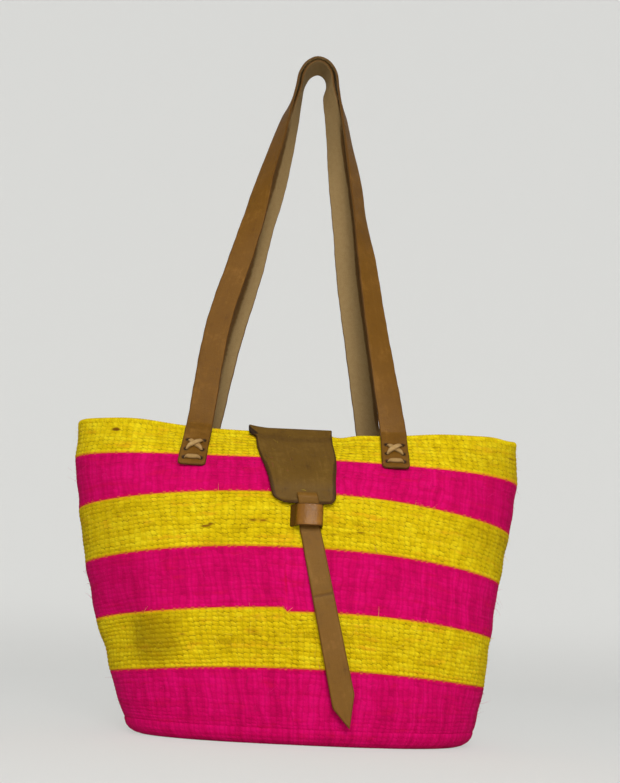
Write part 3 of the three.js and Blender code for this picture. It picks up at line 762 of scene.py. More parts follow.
# %%
# Leather strips
CORNER_SHARE = 0.32
# The rounded corner of the section: how far in and how high its points are, as shares of its size
CORNER_IN = np.array([0.0, 0.0, 0.3, 1.0])
CORNER_UP = np.array([0.0, 0.3, 0.7, 1.0])
CLOSE_ROWS = np.array([0, 0.12, 0.35, 0.7, 1.1, 1.6, 2.3, 3.1, 4.0, 5.0]) * 0.001
FINE_STEP = 0.001
MAP_STEP = 0.37
EDGE_WIDTH = 0.0012


def curve_through(rows, t):
    """A smooth curve through rows of numbers, at t from the first row, 0, to the last."""
    return np.stack([between(column, t) for column in rows.T], -1)


def row_places(length, step, fine):
    """Places along a strip: close at both ends, fine for a stretch, and a step apart between."""
    fine_rows = np.arange(CLOSE_ROWS[-1] + FINE_STEP, fine, FINE_STEP) if fine else []
    start = np.concatenate([CLOSE_ROWS, fine_rows])
    count = max(2, int(round((length - 2 * start[-1]) / step)))
    middle = np.linspace(start[-1], length - start[-1], count + 1)[1:-1]
    return np.concatenate([start, middle, length - start[::-1]])


def spaced(lines, step, fine=0.0):
    """Lines side by side, brought to rows along the first, after how far along it the rows are."""
    places = walked(lines[0])
    rows = row_places(places[-1], step, fine)
    return rows, *(np.stack([np.interp(rows, places, column) for column in line.T], -1) for line in lines)


def rounded_inset(distance, corner):
    """How much narrower half a strip is near an end whose corners are cut round."""
    near = np.clip(corner - distance, 0, corner)
    return corner - np.sqrt(np.maximum(corner**2 - near**2, 0))


def strip(left, right, out, thickness, steps):
    """A strip of leather between two edges: points, faces, map, marks, and how far across each point is."""
    middle = (left + right) / 2
    wide = unit(right - left)
    width = np.linalg.norm(right - left, axis=1)[:, None]
    places = walked(middle)[:, None]
    corner = np.minimum(thickness * CORNER_SHARE, width * 0.24)
    from_end = np.minimum(places, places[-1] - places)
    closing = np.sqrt(1 - (1 - np.clip(from_end / (thickness * CORNER_SHARE), 0.02, 1)) ** 2)
    half_thick = np.minimum(thickness / 2, np.maximum(width * 0.5, 1e-5)) * closing
    inner = np.linspace(-1, 1, steps + 1)[1:-1]
    flat = np.ones(len(inner))
    side = np.concatenate([-np.ones(4), inner, np.ones(4)])
    inset = np.concatenate([CORNER_IN, flat, CORNER_IN[::-1]])
    raised = np.concatenate([CORNER_UP, flat, CORNER_UP[::-1]])
    x_top = side * (width / 2 - corner * inset)
    z_top = half_thick * raised
    x = np.concatenate([x_top, x_top[:, -2:0:-1]], 1)
    z = np.concatenate([z_top, -z_top[:, -2:0:-1]], 1)
    points = middle[:, None] + wide[:, None] * x[..., None] + out[:, None] * z[..., None]
    from_edge = np.minimum(width / 2 - np.abs(x), from_end)
    flesh = (z < -1e-6).astype(float)
    marks = {"flesh": flesh, "edge": hump(from_edge, EDGE_WIDTH), "hole": np.zeros(x.shape)}
    uv = np.stack([np.broadcast_to(places, x.shape), x], -1)
    return {"points": points, "faces": ring_faces(*x.shape), "uv": uv, "marks": marks, "x": x}


def mark(piece, key, amount):
    piece["marks"][key] = np.maximum(piece["marks"][key], amount)


def leather_piece(name, strips, slot, body, *nodes):
    return joined_piece(name, strips, leathers[slot], body, nodes, MAP_STEP)


print("rows near an end:", len(CLOSE_ROWS))

# %% [markdown]
# Each strap's foot lies flat on the wall and is laced to it. A plate finds where: it leans with the wall,
# clears the hem, and says where its top and its holes are.

# %%
# Plates on the rim
STRAP_WIDTH = 0.025
STRAP_THICKNESS = 0.0026
STRAP_RISE = 0.455
CROWN_HALF_WIDTH = 0.0235
CROWN_HEIGHT = 0.040
CROWN_CLEARANCE = 0.0024
FOOT_LENGTH = 0.050
FOOT_DROP = 0.0065
FOOT_SPACING = 0.184
FOOT_CORNER = 0.004
SEAT_GAP = 0.0004
BEND_GAP = 0.0004
LACE_SPREAD = 0.015
LACE_ROWS = (0.38, 0.64, 0.85)
# Below the hem the leather comes down to the wall, from a depth on over a length, and lies a little off it
COME_DOWN = (0.012, 0.016)
OFF_WALL = 0.0016
PLATE_REACH = 0.7
SAMPLES = np.array([-1, -0.5, 0, 0.5, 1])


def wall_frame(side, across, level, reach):
    """The middle of a plate on the wall, and the ways right along it, up it and out of it."""
    middle = face(side, across, level)
    up = unit(face(side, across, level + reach) - face(side, across, level - reach))
    ahead = face(side, across + STRAP_WIDTH / 2, level) - face(side, across - STRAP_WIDTH / 2, level)
    out = unit(np.cross(ahead * -side, up))
    return middle, np.cross(up, out), up, out


def reach_out(frame, side, across, half, levels, inset):
    """How far out the wall comes at places under a plate."""
    level, x = np.meshgrid(levels, SAMPLES)
    return (face(side, across + x * half, level, inset) - frame[0]) @ frame[3]


def rim_plate(side, across, width, length, rise, drop=0.0):
    frame = wall_frame(side, across, RIM_LEVEL - 0.5, 0.5)
    middle, _, up, out = frame
    hem = face(side, across, RIM_LEVEL, WALL / 2) - middle
    levels = RIM_LEVEL - PLATE_REACH + SAMPLES * PLATE_REACH
    outer = reach_out(frame, side, across, width / 2, levels, 0.0)
    top = hem @ up + rise
    under = max(outer.max(), hem @ out + HEM_RADIUS) + SEAT_GAP
    below = face(side, across, np.linspace(RIM_LEVEL - 2, RIM_LEVEL, 60)) - middle
    return {"frame": frame, "width": width, "top": top, "bottom": top - length - drop, "under": under,
            "drop": drop, "wall": (below @ up, below @ out)}


def on_plate(plate, x, y, z):
    """Points in a plate's own frame, brought to the basket's."""
    middle, right, up, out = plate["frame"]
    x, y, z = (np.asarray(a, float)[..., None] for a in np.broadcast_arrays(x, y, z))
    return middle + right * x + up * y + out * z


def seat(plate, y):
    """How far out the back of the leather lies at a height on the plate: on the hem, then on the wall."""
    wall = np.interp(y, *plate["wall"]) + OFF_WALL
    blend = ramp(y, plate["top"] - COME_DOWN[0], -COME_DOWN[1])
    return plate["under"] + (np.minimum(wall, plate["under"]) - plate["under"]) * blend


def foot_holes(plate):
    top = plate["top"] - plate["drop"]
    return [(x * LACE_SPREAD / 2, top - row * FOOT_LENGTH) for row in LACE_ROWS for x in (-1, 1)]


SIDES = {"front": -1, "rear": 1}
# Where each foot is, as a share of their spacing, and whether it reaches lower
FOOT_SHARES = {
    ("front", "left"): (-0.52, 1),
    ("front", "right"): (0.48, 0),
    ("rear", "left"): (-0.535, 0),
    ("rear", "right"): (0.39, 0),
}
feet = {}
for (place, hand), (foot_share, drop) in FOOT_SHARES.items():
    size = (STRAP_WIDTH, FOOT_LENGTH, HEM_RADIUS + SEAT_GAP, drop * FOOT_DROP)
    feet[place, hand] = rim_plate(SIDES[place], foot_share * FOOT_SPACING, *size)
print("feet at", {key: on_plate(p, 0, p["top"], p["under"]).round(4).tolist() for key, p in feet.items()})

# %% [markdown]
# A strap is one long ribbon from foot to foot. Its line is drawn through places up each leg, where the
# leather turns from flat on the wall to edge-on at the crown, and it is bent tight at the top.

# %%
# Straps
# Each place on a leg is across, as a share of the feet's spacing, up, as a share of the rise, and its turn
LEGS = {
    ("front", "left"): [
        (-0.4085, 0.245, 92), (-0.3142, 0.425, 92), (-0.2587, 0.539, 75),
        (-0.2266, 0.646, 53), (-0.1811, 0.745, 43), (-0.1463, 0.85, 24),
    ],
    ("front", "right"): [
        (0.3253, 0.245, -66), (0.2708, 0.425, -54), (0.242, 0.539, -36),
        (0.2087, 0.646, -35), (0.1731, 0.76, -23), (0.1446, 0.85, -16),
    ],
    ("rear", "left"): [
        (-0.4991, 0.26, -88), (-0.3848, 0.425, -70), (-0.3427, 0.539, -60),
        (-0.2697, 0.646, -45), (-0.2155, 0.745, -34), (-0.146, 0.85, -14),
    ],
    ("rear", "right"): [
        (0.3654, 0.245, 88), (0.295, 0.425, 76), (0.2672, 0.539, 80),
        (0.2282, 0.646, 68), (0.1765, 0.76, 46), (0.142, 0.85, 38),
    ],
}
HANDS = {"left": 1, "right": -1}
CROWN_STEPS = 6
CROWN_TURN = {"front": 0.0, "rear": math.radians(26)}
# The rear strap is worn narrow at its back edge and stretched at its front edge, and the front strap's shadow
# is painted on its flesh side beside that edge. Stretch and painted shadow begin and end at a height and over
# a length.
WORN_BACK = 0.0034
WORN_HEIGHT = 0.46
WORN_REACH = 0.045
STRETCHED = 0.0021
STRETCHED_LEG = ((0.70, -0.04), (0.3, 0.04))
SHADE_LEG = ((0.28, 0.03), (0.66, -0.05))
SHADE_WIDTH = 0.0042
SHADE_LEFT = 0.0115
SHADE_SLOPE = 0.02
SHADE_STRENGTH = 1.5
SPINE_POINTS = 900
STRAP_STEP = 0.003
STRAP_COLUMNS = 26
FINE_PAST_FOOT = 0.006
FOOT_ROWS = 46
FOOT_END_GAP = 0.0015
# The cut edges wave a little: how far, turn for a metre, and start
CUT_WAVES = [(0.00015, 160, 0), (0.0001, 410, 1)]
HOLE_RADIUS = 0.0028
HOLE_DEPTH = 0.0013
RIM_TOP = share("front", RIM_LEVEL) * RIM_HEIGHT + HEM_RADIUS


def spine_point(places, t):
    """A curve through places whose pull depends on their spacing, so that close places don't loop."""
    padded = np.concatenate([[2 * places[0] - places[1]], places, [2 * places[-1] - places[-2]]])
    k = np.clip(np.floor(t).astype(int), 0, len(places) - 2)
    p0, p1, p2, p3 = (padded[k + i] for i in range(4))
    w = (t - k)[:, None]
    d0, d1, d2 = (np.linalg.norm(b - a, axis=1)[:, None] ** 0.5 for a, b in ((p0, p1), (p1, p2), (p2, p3)))
    pull1 = ((p1 - p0) / d0 - (p2 - p0) / (d0 + d1) + (p2 - p1) / d1) * d1
    pull2 = ((p2 - p1) / d1 - (p3 - p1) / (d1 + d2) + (p3 - p2) / d2) * d1
    return p1 + w * (pull1 + w * (3 * (p2 - p1) - 2 * pull1 - pull2 + w * (2 * (p1 - p2) + pull1 + pull2)))


def leg_rows(place, hand):
    """Places and turns up a leg, from where it bends over its foot."""
    plate, side = feet[place, hand], SIDES[place]
    bend = on_plate(plate, 0, plate["top"], plate["under"] + STRAP_THICKNESS)
    turn = -HANDS[hand] * side * math.pi / 2
    x, y = bend[0] + math.sin(turn) * STRAP_WIDTH / 2, bend[1] - side * STRAP_THICKNESS / 2
    rows = [[x, y, bend[2] + BEND_GAP, turn]]
    for across, rise, turn in LEGS[place, hand]:
        x, z = across * FOOT_SPACING - FLOOR_SHIFT, RIM_TOP + rise * STRAP_RISE
        rows.append([x, y * (1 - rise), z, math.radians(turn)])
    return rows


def strap_rows(place, inset):
    """Places and turns along a strap's front edge, from its left foot to its right one."""
    crown = []
    for part in np.arange(CROWN_STEPS + 1) / CROWN_STEPS:
        angle = math.pi * (1 - part)
        x = (CROWN_HALF_WIDTH - inset) * math.cos(angle) - FLOOR_SHIFT
        z = RIM_TOP + STRAP_RISE - CROWN_HEIGHT + (CROWN_HEIGHT - inset) * math.sin(angle)
        crown.append([x, 0, z, CROWN_TURN[place] * part**4])
    return np.array(leg_rows(place, "left") + crown + leg_rows(place, "right")[::-1])


def strap_lines(place, inset):
    """The middle line of a whole strap with both feet, with the ways across it and out of its grain side."""
    rows = strap_rows(place, inset)
    t = np.linspace(0, len(rows) - 1, SPINE_POINTS)
    edge = spine_point(rows[:, :3], t)
    ahead = np.gradient(edge, axis=0)
    turn = between(rows[:, 3], t)
    edge[:, 1] -= np.cos(turn) * STRAP_WIDTH / 2
    wide = np.stack([np.sin(turn), -np.cos(turn), turn * 0], -1)
    between_feet = (edge - wide * STRAP_WIDTH / 2, wide, unit(np.cross(ahead, wide)))
    ends = []
    for hand, sign in HANDS.items():
        plate = feet[place, hand]
        y = np.linspace(plate["bottom"], plate["top"] - FOOT_END_GAP, FOOT_ROWS)
        line = on_plate(plate, 0, y, seat(plate, y) + STRAP_THICKNESS / 2)
        right = plate["frame"][1]
        flat = unit(np.cross(np.gradient(line, axis=0), right))
        ends.append((line, np.tile(right * sign, (FOOT_ROWS, 1)), flat))
    parts = zip(ends[0], between_feet, ends[1])
    centre, wide, flesh = (np.concatenate([left, line[3:-3], right[::-1]]) for left, line, right in parts)
    return centre, wide, -flesh


def dent_holes(piece, plate, holes, thickness):
    """Press the holes that the thongs go through into a strip, and mark them for painted shade."""
    middle, right, up, out = plate["frame"]
    local = piece["points"] - middle
    x, y, z = local @ right, local @ up, local @ out
    height = z - seat(plate, y)
    grain = (height > thickness * 0.45) & (height < thickness * 1.6)
    for hole_x, hole_y in holes:
        deep = clamp(1.25 - np.hypot(x - hole_x, y - hole_y) / HOLE_RADIUS) * grain
        piece["points"] -= out * (deep * HOLE_DEPTH)[..., None]
        mark(piece, "hole", deep)


def make_strap(place, inset):
    rows, centre, wide, out = spaced(strap_lines(place, inset), STRAP_STEP, FOOT_LENGTH + FINE_PAST_FOOT)
    wide, out = unit(wide), unit(out)
    from_end = np.minimum(rows, rows[-1] - rows)
    half = STRAP_WIDTH / 2 - rounded_inset(from_end, FOOT_CORNER)
    for far, turn, start in CUT_WAVES:
        half = half + far * np.sin(rows * turn + start)
    half = half[:, None]
    back, ahead = half.copy(), half.copy()
    on_left = (rows < rows[-1] / 2)[:, None]
    height = centre[:, 2:]
    if place == "rear":
        back -= WORN_BACK * hump(height - WORN_HEIGHT, WORN_REACH) * on_left
        ahead += STRETCHED * ramp(height, *STRETCHED_LEG[0]) * ramp(height, *STRETCHED_LEG[1]) * ~on_left
    piece = strip(centre - wide * back, centre + wide * ahead, out, STRAP_THICKNESS, STRAP_COLUMNS)
    if place == "rear":
        # Painted shadow of the front strap on the rear strap's flesh side
        leg = ramp(height, *SHADE_LEG[0]) * ramp(height, *SHADE_LEG[1])
        width = np.where(on_left, SHADE_LEFT + SHADE_SLOPE * (WORN_HEIGHT - height), SHADE_WIDTH)
        shade = SHADE_STRENGTH * hump(half - piece["x"], width, 4) * leg * piece["marks"]["flesh"]
        mark(piece, "edge", shade)
    for hand in HANDS:
        dent_holes(piece, feet[place, hand], foot_holes(feet[place, hand]), STRAP_THICKNESS)
    names = [f"{place}_strap", f"{place}_strap_foot_left", f"{place}_strap_foot_right"]
    strap = leather_piece(f"{place}_strap_leather", [piece], "strap_leather", None, *names)
    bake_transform(strap)
    return rows[-1]


for place, inset in (("front", 0.0), ("rear", STRAP_THICKNESS + CROWN_CLEARANCE)):
    print(place, "strap", round(make_strap(place, inset), 3), "m long with its feet")

# %% [markdown]
# The thongs are narrow flat strips of pale hide. Each comes up out of a hole, lies over the leather and goes
# down the next one: a cross on the two upper rows of a foot and a bar on the third.

# %%
# Lacing
THONG_WIDTH = 0.0054
THONG_THICKNESS = 0.0018
THONG_LIFT = 0.0002
CROSSING_LIFT = 0.0014
# Along a run from hole to hole: how far it has come, how high over the leather it lies, and how wide it is
RUN_SHARES = [0.03, 0.07, 0.17, 0.33, 0.5, 0.67, 0.83, 0.93, 0.97]
RUN_LIFTS = [(0, -0.0028), (0, -0.0008), (0.35, 0.0007), (0.85, 0.0007), (1, 0.0007)]
RUN_WIDTHS = [0.4, 0.5, 0.8, 1, 1.03, 1, 0.8, 0.5, 0.4]
INSIDE_DROP = WALL + 0.004


def thong_run(plate, first, last, levels, lift, sign):
    """A strip from hole to hole, lift over the leather's levels there, outside (1) or inside (-1)."""
    a, b = np.array(first), np.array(last)
    ahead = (b - a) / np.linalg.norm(b - a)
    wide = np.array([-ahead[1], ahead[0]]) * THONG_WIDTH / 2
    rises = [part * lift + rise for part, rise in RUN_LIFTS]
    rises = rises + rises[-2::-1]
    t = np.linspace(0, len(RUN_SHARES) - 1, 30)
    come = between(RUN_SHARES, t)
    flat = a + (b - a) * come[:, None]
    height = levels[0] + (levels[1] - levels[0]) * come + sign * between(rises, t)
    aside = wide * between(RUN_WIDTHS, t)[:, None]
    line, left, right = (on_plate(plate, *(flat + shift).T, height) for shift in (0, -aside, aside))
    out = unit(np.cross(np.gradient(line, axis=0), left - right))
    out = out * np.sign(out @ plate["frame"][3] * sign)[:, None]
    if sign < 0:
        left, right = right, left
    return strip(left, right, out, THONG_THICKNESS, 5)


def lacing(name, plate, holes, outer, inner, thickness, node):
    """Thongs through holes named a, b, c and on, by the pairs that they join outside and inside."""
    at = dict(zip("abcdefgh", holes))
    runs = []
    for pairs, offset, sign in ((outer, thickness, 1), (inner, -INSIDE_DROP, -1)):
        for pair in pairs:
            lift = CROSSING_LIFT if sign > 0 and pair == "bc" else THONG_LIFT
            levels = [seat(plate, at[letter][1]) + offset for letter in pair]
            runs.append(thong_run(plate, at[pair[0]], at[pair[1]], levels, lift, sign))
    leather_piece(name, runs, "lacing_leather", "basket", node)


FOOT_OUTER = ["ad", "bc", "ef"]
FOOT_INNER = ["ac", "ce", "bd", "df"]
for (place, hand), plate in feet.items():
    node = f"{place}_lacing_{hand}"
    lacing(f"{place}_thong_{hand}", plate, foot_holes(plate), FOOT_OUTER, FOOT_INNER, STRAP_THICKNESS, node)
print("lacings:", len(feet))

# %% [markdown]
# The flap is one hide from its laced tab on the rear wall, over both hems, to its rounded lower end in
# front. It sags a little over the mouth.

# %%
# Flap
FLAP_WIDTH = 0.076
FLAP_THICKNESS = 0.0028
FLAP_TAB = 0.038
FLAP_TAB_CORNER = 0.005
FLAP_SAG = 0.003
TAB_SHARE = 0.92
FLAP_REAR = -0.11 * FLAP_WIDTH
TAB_OUTER = ["ae", "bf", "cg", "dh"]
TAB_INNER = ["ef", "bc", "gh"]
# Down the front: the level, the middle and half the width in widths, and how far off the wall in thicknesses
FLAP_ROWS = [
    (6.85, -0.1, 0.495, 0.55),
    (6.5, -0.07, 0.475, 0.4),
    (6, -0.015, 0.448, 0.4),
    (5.6, 0.024, 0.42, 0.8),
    (5.3, 0.046, 0.395, 1.25),
    (5.08, 0.064, 0.38, 1.25),
    (4.9, 0.082, 0.367, 0.75),
    (4.82, 0.1, 0.33, 0.5),
    (4.75, 0.125, 0.265, 0.4),
]
LIP_LENGTH = 0.009
LIP_CURL = 0.0034
LIP_HELD = 0.016
LIP_HOLD = 0.75
TONGUE_ACROSS = 0.125
CREST_RISE = 0.006
FLAP_STEP = 0.0016
FLAP_COLUMNS = 60
# The left edge at the front bend: down from the crest, how far it moves right, out and up
ROLL_WIDTH = 0.018
ROLL = [
    (-0.020, 0, 0, 0),
    (-0.008, -0.0025, 0, 0.0016),
    (0.000, -0.0034, -0.0008, 0.0026),
    (0.004, -0.0034, -0.0016, 0.0016),
    (0.008, -0.0026, -0.0012, 0.0004),
    (0.0105, 0.0022, -0.0010, 0),
    (0.014, 0.0026, -0.0008, 0),
    (0.022, 0.0010, -0.0003, 0),
    (0.032, 0, 0, 0),
]
# The painted shadow in the hollow under that curled edge: down from the crest, how far in from the edge it
# reaches
HOLLOW_SHADE = [(0.0, 0.0), (0.0015, 0.001), (0.0085, 0.0075), (0.0105, 0.0)]
tab = rim_plate(1, FLAP_REAR, FLAP_WIDTH * TAB_SHARE, FLAP_TAB, 0.0)


def tab_holes():
    columns = (-0.4, -0.14, 0.14, 0.4)
    return [(column * tab["width"], tab["top"] - row * FLAP_TAB) for row in (0.3, 0.6) for column in columns]


def off_wall(across, level, off):
    """A point off the front wall and the way out of the wall there, square to X."""
    slope = face(-1, across, level + 0.1) - face(-1, across, level - 0.1)
    out = unit(np.array([0, -slope[2], slope[1]]))
    return face(-1, across, level) + out * off, out


def flap_rows():
    """Rows of middle, grain side and half width, from the tab's lower edge to the flap's."""
    rows = []
    for y in np.linspace(tab["bottom"], tab["top"], 6)[:-1]:
        middle = on_plate(tab, 0, y, seat(tab, y) + FLAP_THICKNESS / 2)
        rows.append([*middle, *tab["frame"][3], tab["width"] / 2])
    pivot = on_plate(tab, 0, tab["top"], tab["under"] + FLAP_THICKNESS)
    rear, front = (face(side, FLAP_REAR, RIM_LEVEL, WALL / 2) for side in (1, -1))
    radius = math.hypot(pivot[1] - rear[1], pivot[2] - rear[2]) - FLAP_THICKNESS / 2
    start = math.atan2(pivot[2] - rear[2], pivot[1] - rear[1]) + BEND_GAP / radius
    half = FLAP_WIDTH / 2
    bends = [start + (math.pi / 2 - start) * k / 3 for k in range(4)]
    for k, turn in enumerate(bends):
        out = np.array([0, math.cos(turn), math.sin(turn)])
        rows.append([*(rear + out * radius), *out, half * (TAB_SHARE if k == 0 else 1)])
    rows.append([*((rear + front) / 2 + [0, 0, radius - FLAP_SAG]), 0, 0, 1, half])
    for turn in bends[:0:-1]:
        out = np.array([0, -math.cos(turn), math.sin(turn)])
        rows.append([*(front + out * radius), *out, half])
    for level, middle, half_share, off in FLAP_ROWS:
        place, out = off_wall(middle * FLAP_WIDTH, level, off * FLAP_THICKNESS + FLAP_THICKNESS / 2)
        rows.append([*place, *out, half_share * FLAP_WIDTH])
    return np.array(rows)


rows = flap_rows()
lines = curve_through(rows, np.linspace(0, len(rows) - 1, 500))
places, centre, out, half = spaced((lines[:, :3], lines[:, 3:6], lines[:, 6:]), FLAP_STEP)
out = unit(out)
from_tab = walked(centre)[:, None]
half = half - rounded_inset(from_tab, FLAP_TAB_CORNER) + 0.0003 * np.sin(from_tab * 90)
wide = np.array([1.0, 0, 0])
flap = strip(centre - wide * half, centre + wide * half, out, FLAP_THICKNESS, FLAP_COLUMNS)
crest = face(-1, FLAP_REAR, RIM_LEVEL) + [0, 0, CREST_RISE]
down = from_tab - from_tab[np.argmin(np.linalg.norm(centre - crest, axis=1))]
to_end = from_tab[-1] - from_tab
print("flap", round(places[-1], 3), "m long")

# %% [markdown]
# The flap's edges in front are darker cut edges with painted shade on them, more so at the lower end, where
# painted shade stands for the lip's underside, and a band of painted shade lies below the bend. Its left edge
# curls at the bend, with painted shadow in the hollow under it, and its lower lip curls up on both sides of
# the tongue.

# %%
# The flap's wear and curls
moves, *shifts = np.array(ROLL).T
shift = np.stack([np.interp(down[:, 0], moves, values) for values in shifts], -1)
flap["points"] += (clamp(1 - (flap["x"] + half) / ROLL_WIDTH) ** 2)[..., None] * shift[:, None]
from_edge = np.minimum(half - np.abs(flap["x"]), to_end)
# Dark edges with painted shade in front, painted shade below the bend, painted shade on the lower edges, and
# painted shadow in the hollow under the curled edge
shaded_band = down - 0.015 - 0.0025 * np.sin(flap["x"] * 70 + 1)
mark(flap, "edge", 1.1 * hump(from_edge, 0.0022) * clamp(down / 0.008))
mark(flap, "edge", 0.6 * hump(shaded_band, 0.009))
mark(flap, "edge", 1.4 * hump(from_edge, 0.0034) * ramp(down, 0.042, 0.012))
mark(flap, "hole", clamp((np.interp(down, *np.array(HOLLOW_SHADE).T) - flap["x"] - half) / 0.0015))
from_tongue = flap["points"][..., 0] - (TONGUE_ACROSS * FLAP_WIDTH - FLOOR_SHIFT)
curl = clamp(1 - to_end / LIP_LENGTH) ** 2 * (1 - LIP_HOLD * hump(from_tongue, LIP_HELD, 4))
flap["points"] += out[:, None] * (LIP_CURL * curl)[..., None]
dent_holes(flap, tab, tab_holes(), FLAP_THICKNESS)
flap_piece = leather_piece("flap_leather_hide", [flap], "flap_leather", None, "flap", "flap_tab")
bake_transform(flap_piece)
lacing("flap_thong", tab, tab_holes(), TAB_OUTER, TAB_INNER, FLAP_THICKNESS, "flap_lacing")
print("points of the flap", flap["x"].size)

# %% [markdown]
# The tongue comes out through a slit in the flap, goes down under the keeper and hangs free, slanting to a
# point. It keeps a crease where it was bent over the belly, pressed in and darkened with painted shade.

# %%
# Tongue
TONGUE_WIDTH = 0.018
TONGUE_THICKNESS = 0.0024
TAIL_LENGTH = 0.155
TAIL_SLANT = math.radians(13.4)
CREASE_DOWN = 0.049
CREASE_REACH = 0.0014
CREASE_DEPTH = 0.0005
TONGUE_STEP = 0.0015
TONGUE_COLUMNS = 18
# Down to the keeper: the level, how far across in widths of the flap, how far off the wall in thicknesses
TONGUE_ROWS = [
    (5.4, 0.08, 0.62),
    (5.15, 0.095, 0.66),
    (5.03, 0.103, 0.75),
    (4.9, 0.118, 2.4),
    (4.82, 0.13, 2.3),
    (4.75, 0.138, 2.0),
    (4.67, 0.144, 1.35),
    (4.58, 0.149, 1.15),
    (4.45, 0.154, 1.15),
    (4.3, 0.164, 1.15),
    (4.19, 0.187, 1.15),
]
TAIL_POINTS = {"right": (0.84, 0.545), "tip": (1, 0.03), "left": (0.885, -0.54)}

rows = np.array([
    np.concatenate(off_wall(across * FLAP_WIDTH, level, off * FLAP_THICKNESS))
    for level, across, off in TONGUE_ROWS
])
head = curve_through(rows, np.linspace(0, len(rows) - 1, 90))[:-2]
neck = rows[-1, :3]
half = TONGUE_WIDTH / 2


def tail_edge(side, start):
    """One edge of the tail, from the neck round its shoulder to the tip."""
    corners = [(0.0, start)]
    for down, across in (TAIL_POINTS[side], TAIL_POINTS["tip"]):
        d, a = down * TAIL_LENGTH, across * TONGUE_WIDTH
        corners.append((-d * math.cos(TAIL_SLANT) + a * math.sin(TAIL_SLANT),
                        d * math.sin(TAIL_SLANT) + a * math.cos(TAIL_SLANT)))
    t = np.concatenate([np.linspace(0, 1, 100)[:-1], np.linspace(1, 2, 40)])
    soft = np.stack([np.interp(t, [0, 1, 2], column) for column in np.array(corners).T], -1)
    for _ in range(3):
        soft[1:-1] = (soft[:-2] + 2 * soft[1:-1] + soft[2:]) / 4
    return np.stack([neck[0] + soft[:, 1], np.full(len(soft), neck[1]), neck[2] - BEND_GAP + soft[:, 0]], -1)


left, right = (
    np.concatenate([head[:, :3] + [edge, 0, 0], tail_edge(side, edge)])
    for side, edge in (("left", -half), ("right", half))
)
ways = np.concatenate([head[:, 3:], np.tile([0.0, -1, 0], (len(left) - len(head), 1))])
middle = (left + right) / 2
to_neck = walked(middle)[len(head)]
places, middle, left, right, ways = spaced((middle, left, right, ways), TONGUE_STEP)
ways = unit(ways)
shaded_band = hump(places - to_neck - CREASE_DOWN, CREASE_REACH)[:, None]
pressed = ways * shaded_band * CREASE_DEPTH
tongue = strip(left - pressed, right - pressed, ways, TONGUE_THICKNESS, TONGUE_COLUMNS)
# Painted shade darkens the crease
mark(tongue, "edge", shaded_band * 1.2)
tongue_nodes = ("tongue", "tongue_tail")
tongue_piece = leather_piece("tongue_leather_strip", [tongue], "tongue_leather", None, *tongue_nodes)
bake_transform(tongue_piece)
print("tongue", round(float(places[-1]), 3), "m long")

# %% [markdown]
# The keeper is a short strap of thicker, polished hide. Its ends go in through two slits, and it stands off
# the wall in a low bridge that the tongue passes under.

# %%
# Keeper
KEEPER_THICKNESS = 0.0016
KEEPER_HEIGHT = 0.019
KEEPER_FACE = 0.0224
KEEPER_RISE = 0.0105
KEEPER_SPLAY = (0.006, 0.0006)
KEEPER_LEVEL = 4.535
KEEPER_SPAN = 0.15
KEEPER_SHADED_SIDE = 0.0026
KEEPER_ACROSS = 0.15
KEEPER_STEP = 0.0007
KEEPER_COLUMNS = 18
KEEPER_LIP = 0.42
across = KEEPER_ACROSS * FLAP_WIDTH
frame_there = wall_frame(-1, across, KEEPER_LEVEL, KEEPER_SPAN)
levels = KEEPER_LEVEL + SAMPLES * KEEPER_SPAN
inside = reach_out(frame_there, -1, across, KEEPER_FACE, levels, WALL).min() - SEAT_GAP
k = KEEPER_THICKNESS
half = KEEPER_FACE / 2
left_end, right_end = -half - KEEPER_SPLAY[0], half + KEEPER_SPLAY[1]
lip = KEEPER_LIP * KEEPER_FACE
# The bridge from end to end: how far across, and how far out of the wall
bridge = [
    (left_end + lip, inside - k / 2),
    (left_end + k, inside - k / 2),
    (left_end + k / 2, inside),
    (left_end + k / 2, -0.001),
    (left_end + k / 2 + 0.0005, 0.0005),
    (-half + k * 0.2, KEEPER_RISE - 0.0032),
    (-half + k * 0.8, KEEPER_RISE - 0.0006),
    (-half * 0.45, KEEPER_RISE + 0.0011),
    (half * 0.2, KEEPER_RISE + 0.0014),
    (half * 0.66, KEEPER_RISE + 0.0009),
    (half - k * 0.7, KEEPER_RISE - 0.0006),
    (half - k * 0.2, KEEPER_RISE - 0.0034),
    (right_end - k / 2 - 0.0003, 0.0005),
    (right_end - k / 2, -0.001),
    (right_end - k / 2, inside),
    (right_end - k, inside - k / 2),
    (right_end - lip, inside - k / 2),
]
line = spine_point(np.array([(x, 0, z) for x, z in bridge]), np.linspace(0, len(bridge) - 1, 400))
places, line = spaced([line], KEEPER_STEP)
middle, right_way, up_way, out_way = frame_there
course = middle + right_way * line[:, :1] + out_way * line[:, 2:]
way = unit(np.cross(np.gradient(course, axis=0), -up_way))
height = up_way * KEEPER_HEIGHT / 2
keeper = strip(course - height, course + height, -way, KEEPER_THICKNESS, KEEPER_COLUMNS)
# Painted shade on the keeper's sides, where they turn back to the wall
mark(keeper, "edge", clamp((np.abs(line[:, :1]) - half + KEEPER_SHADED_SIDE) / KEEPER_SHADED_SIDE))
leather_piece("keeper_leather_bridge", [keeper], "keeper_leather", "basket", "keeper")
print("keeper", round(float(places[-1]), 3), "m long")

# %% [markdown]
# Sisal is a hairy fibre. Short stray ends stand out all over the wall and show against the backdrop. Each is
# a thin ribbon that narrows to a point and bends away from the wall.

# %%
# Stray fibres
FIBRES = 5200
FIBRE_STEPS = 4
LOOSE_SHARE = 0.15
UP = np.array([0, 0, 1.0])


def fibre_look(name, light, dark):
    n = Nodes(name)
    return n.look(n.mix(n.value("tone"), srgb(*dark), srgb(*light)), 0.8, Specular_IOR_Level=0.1)


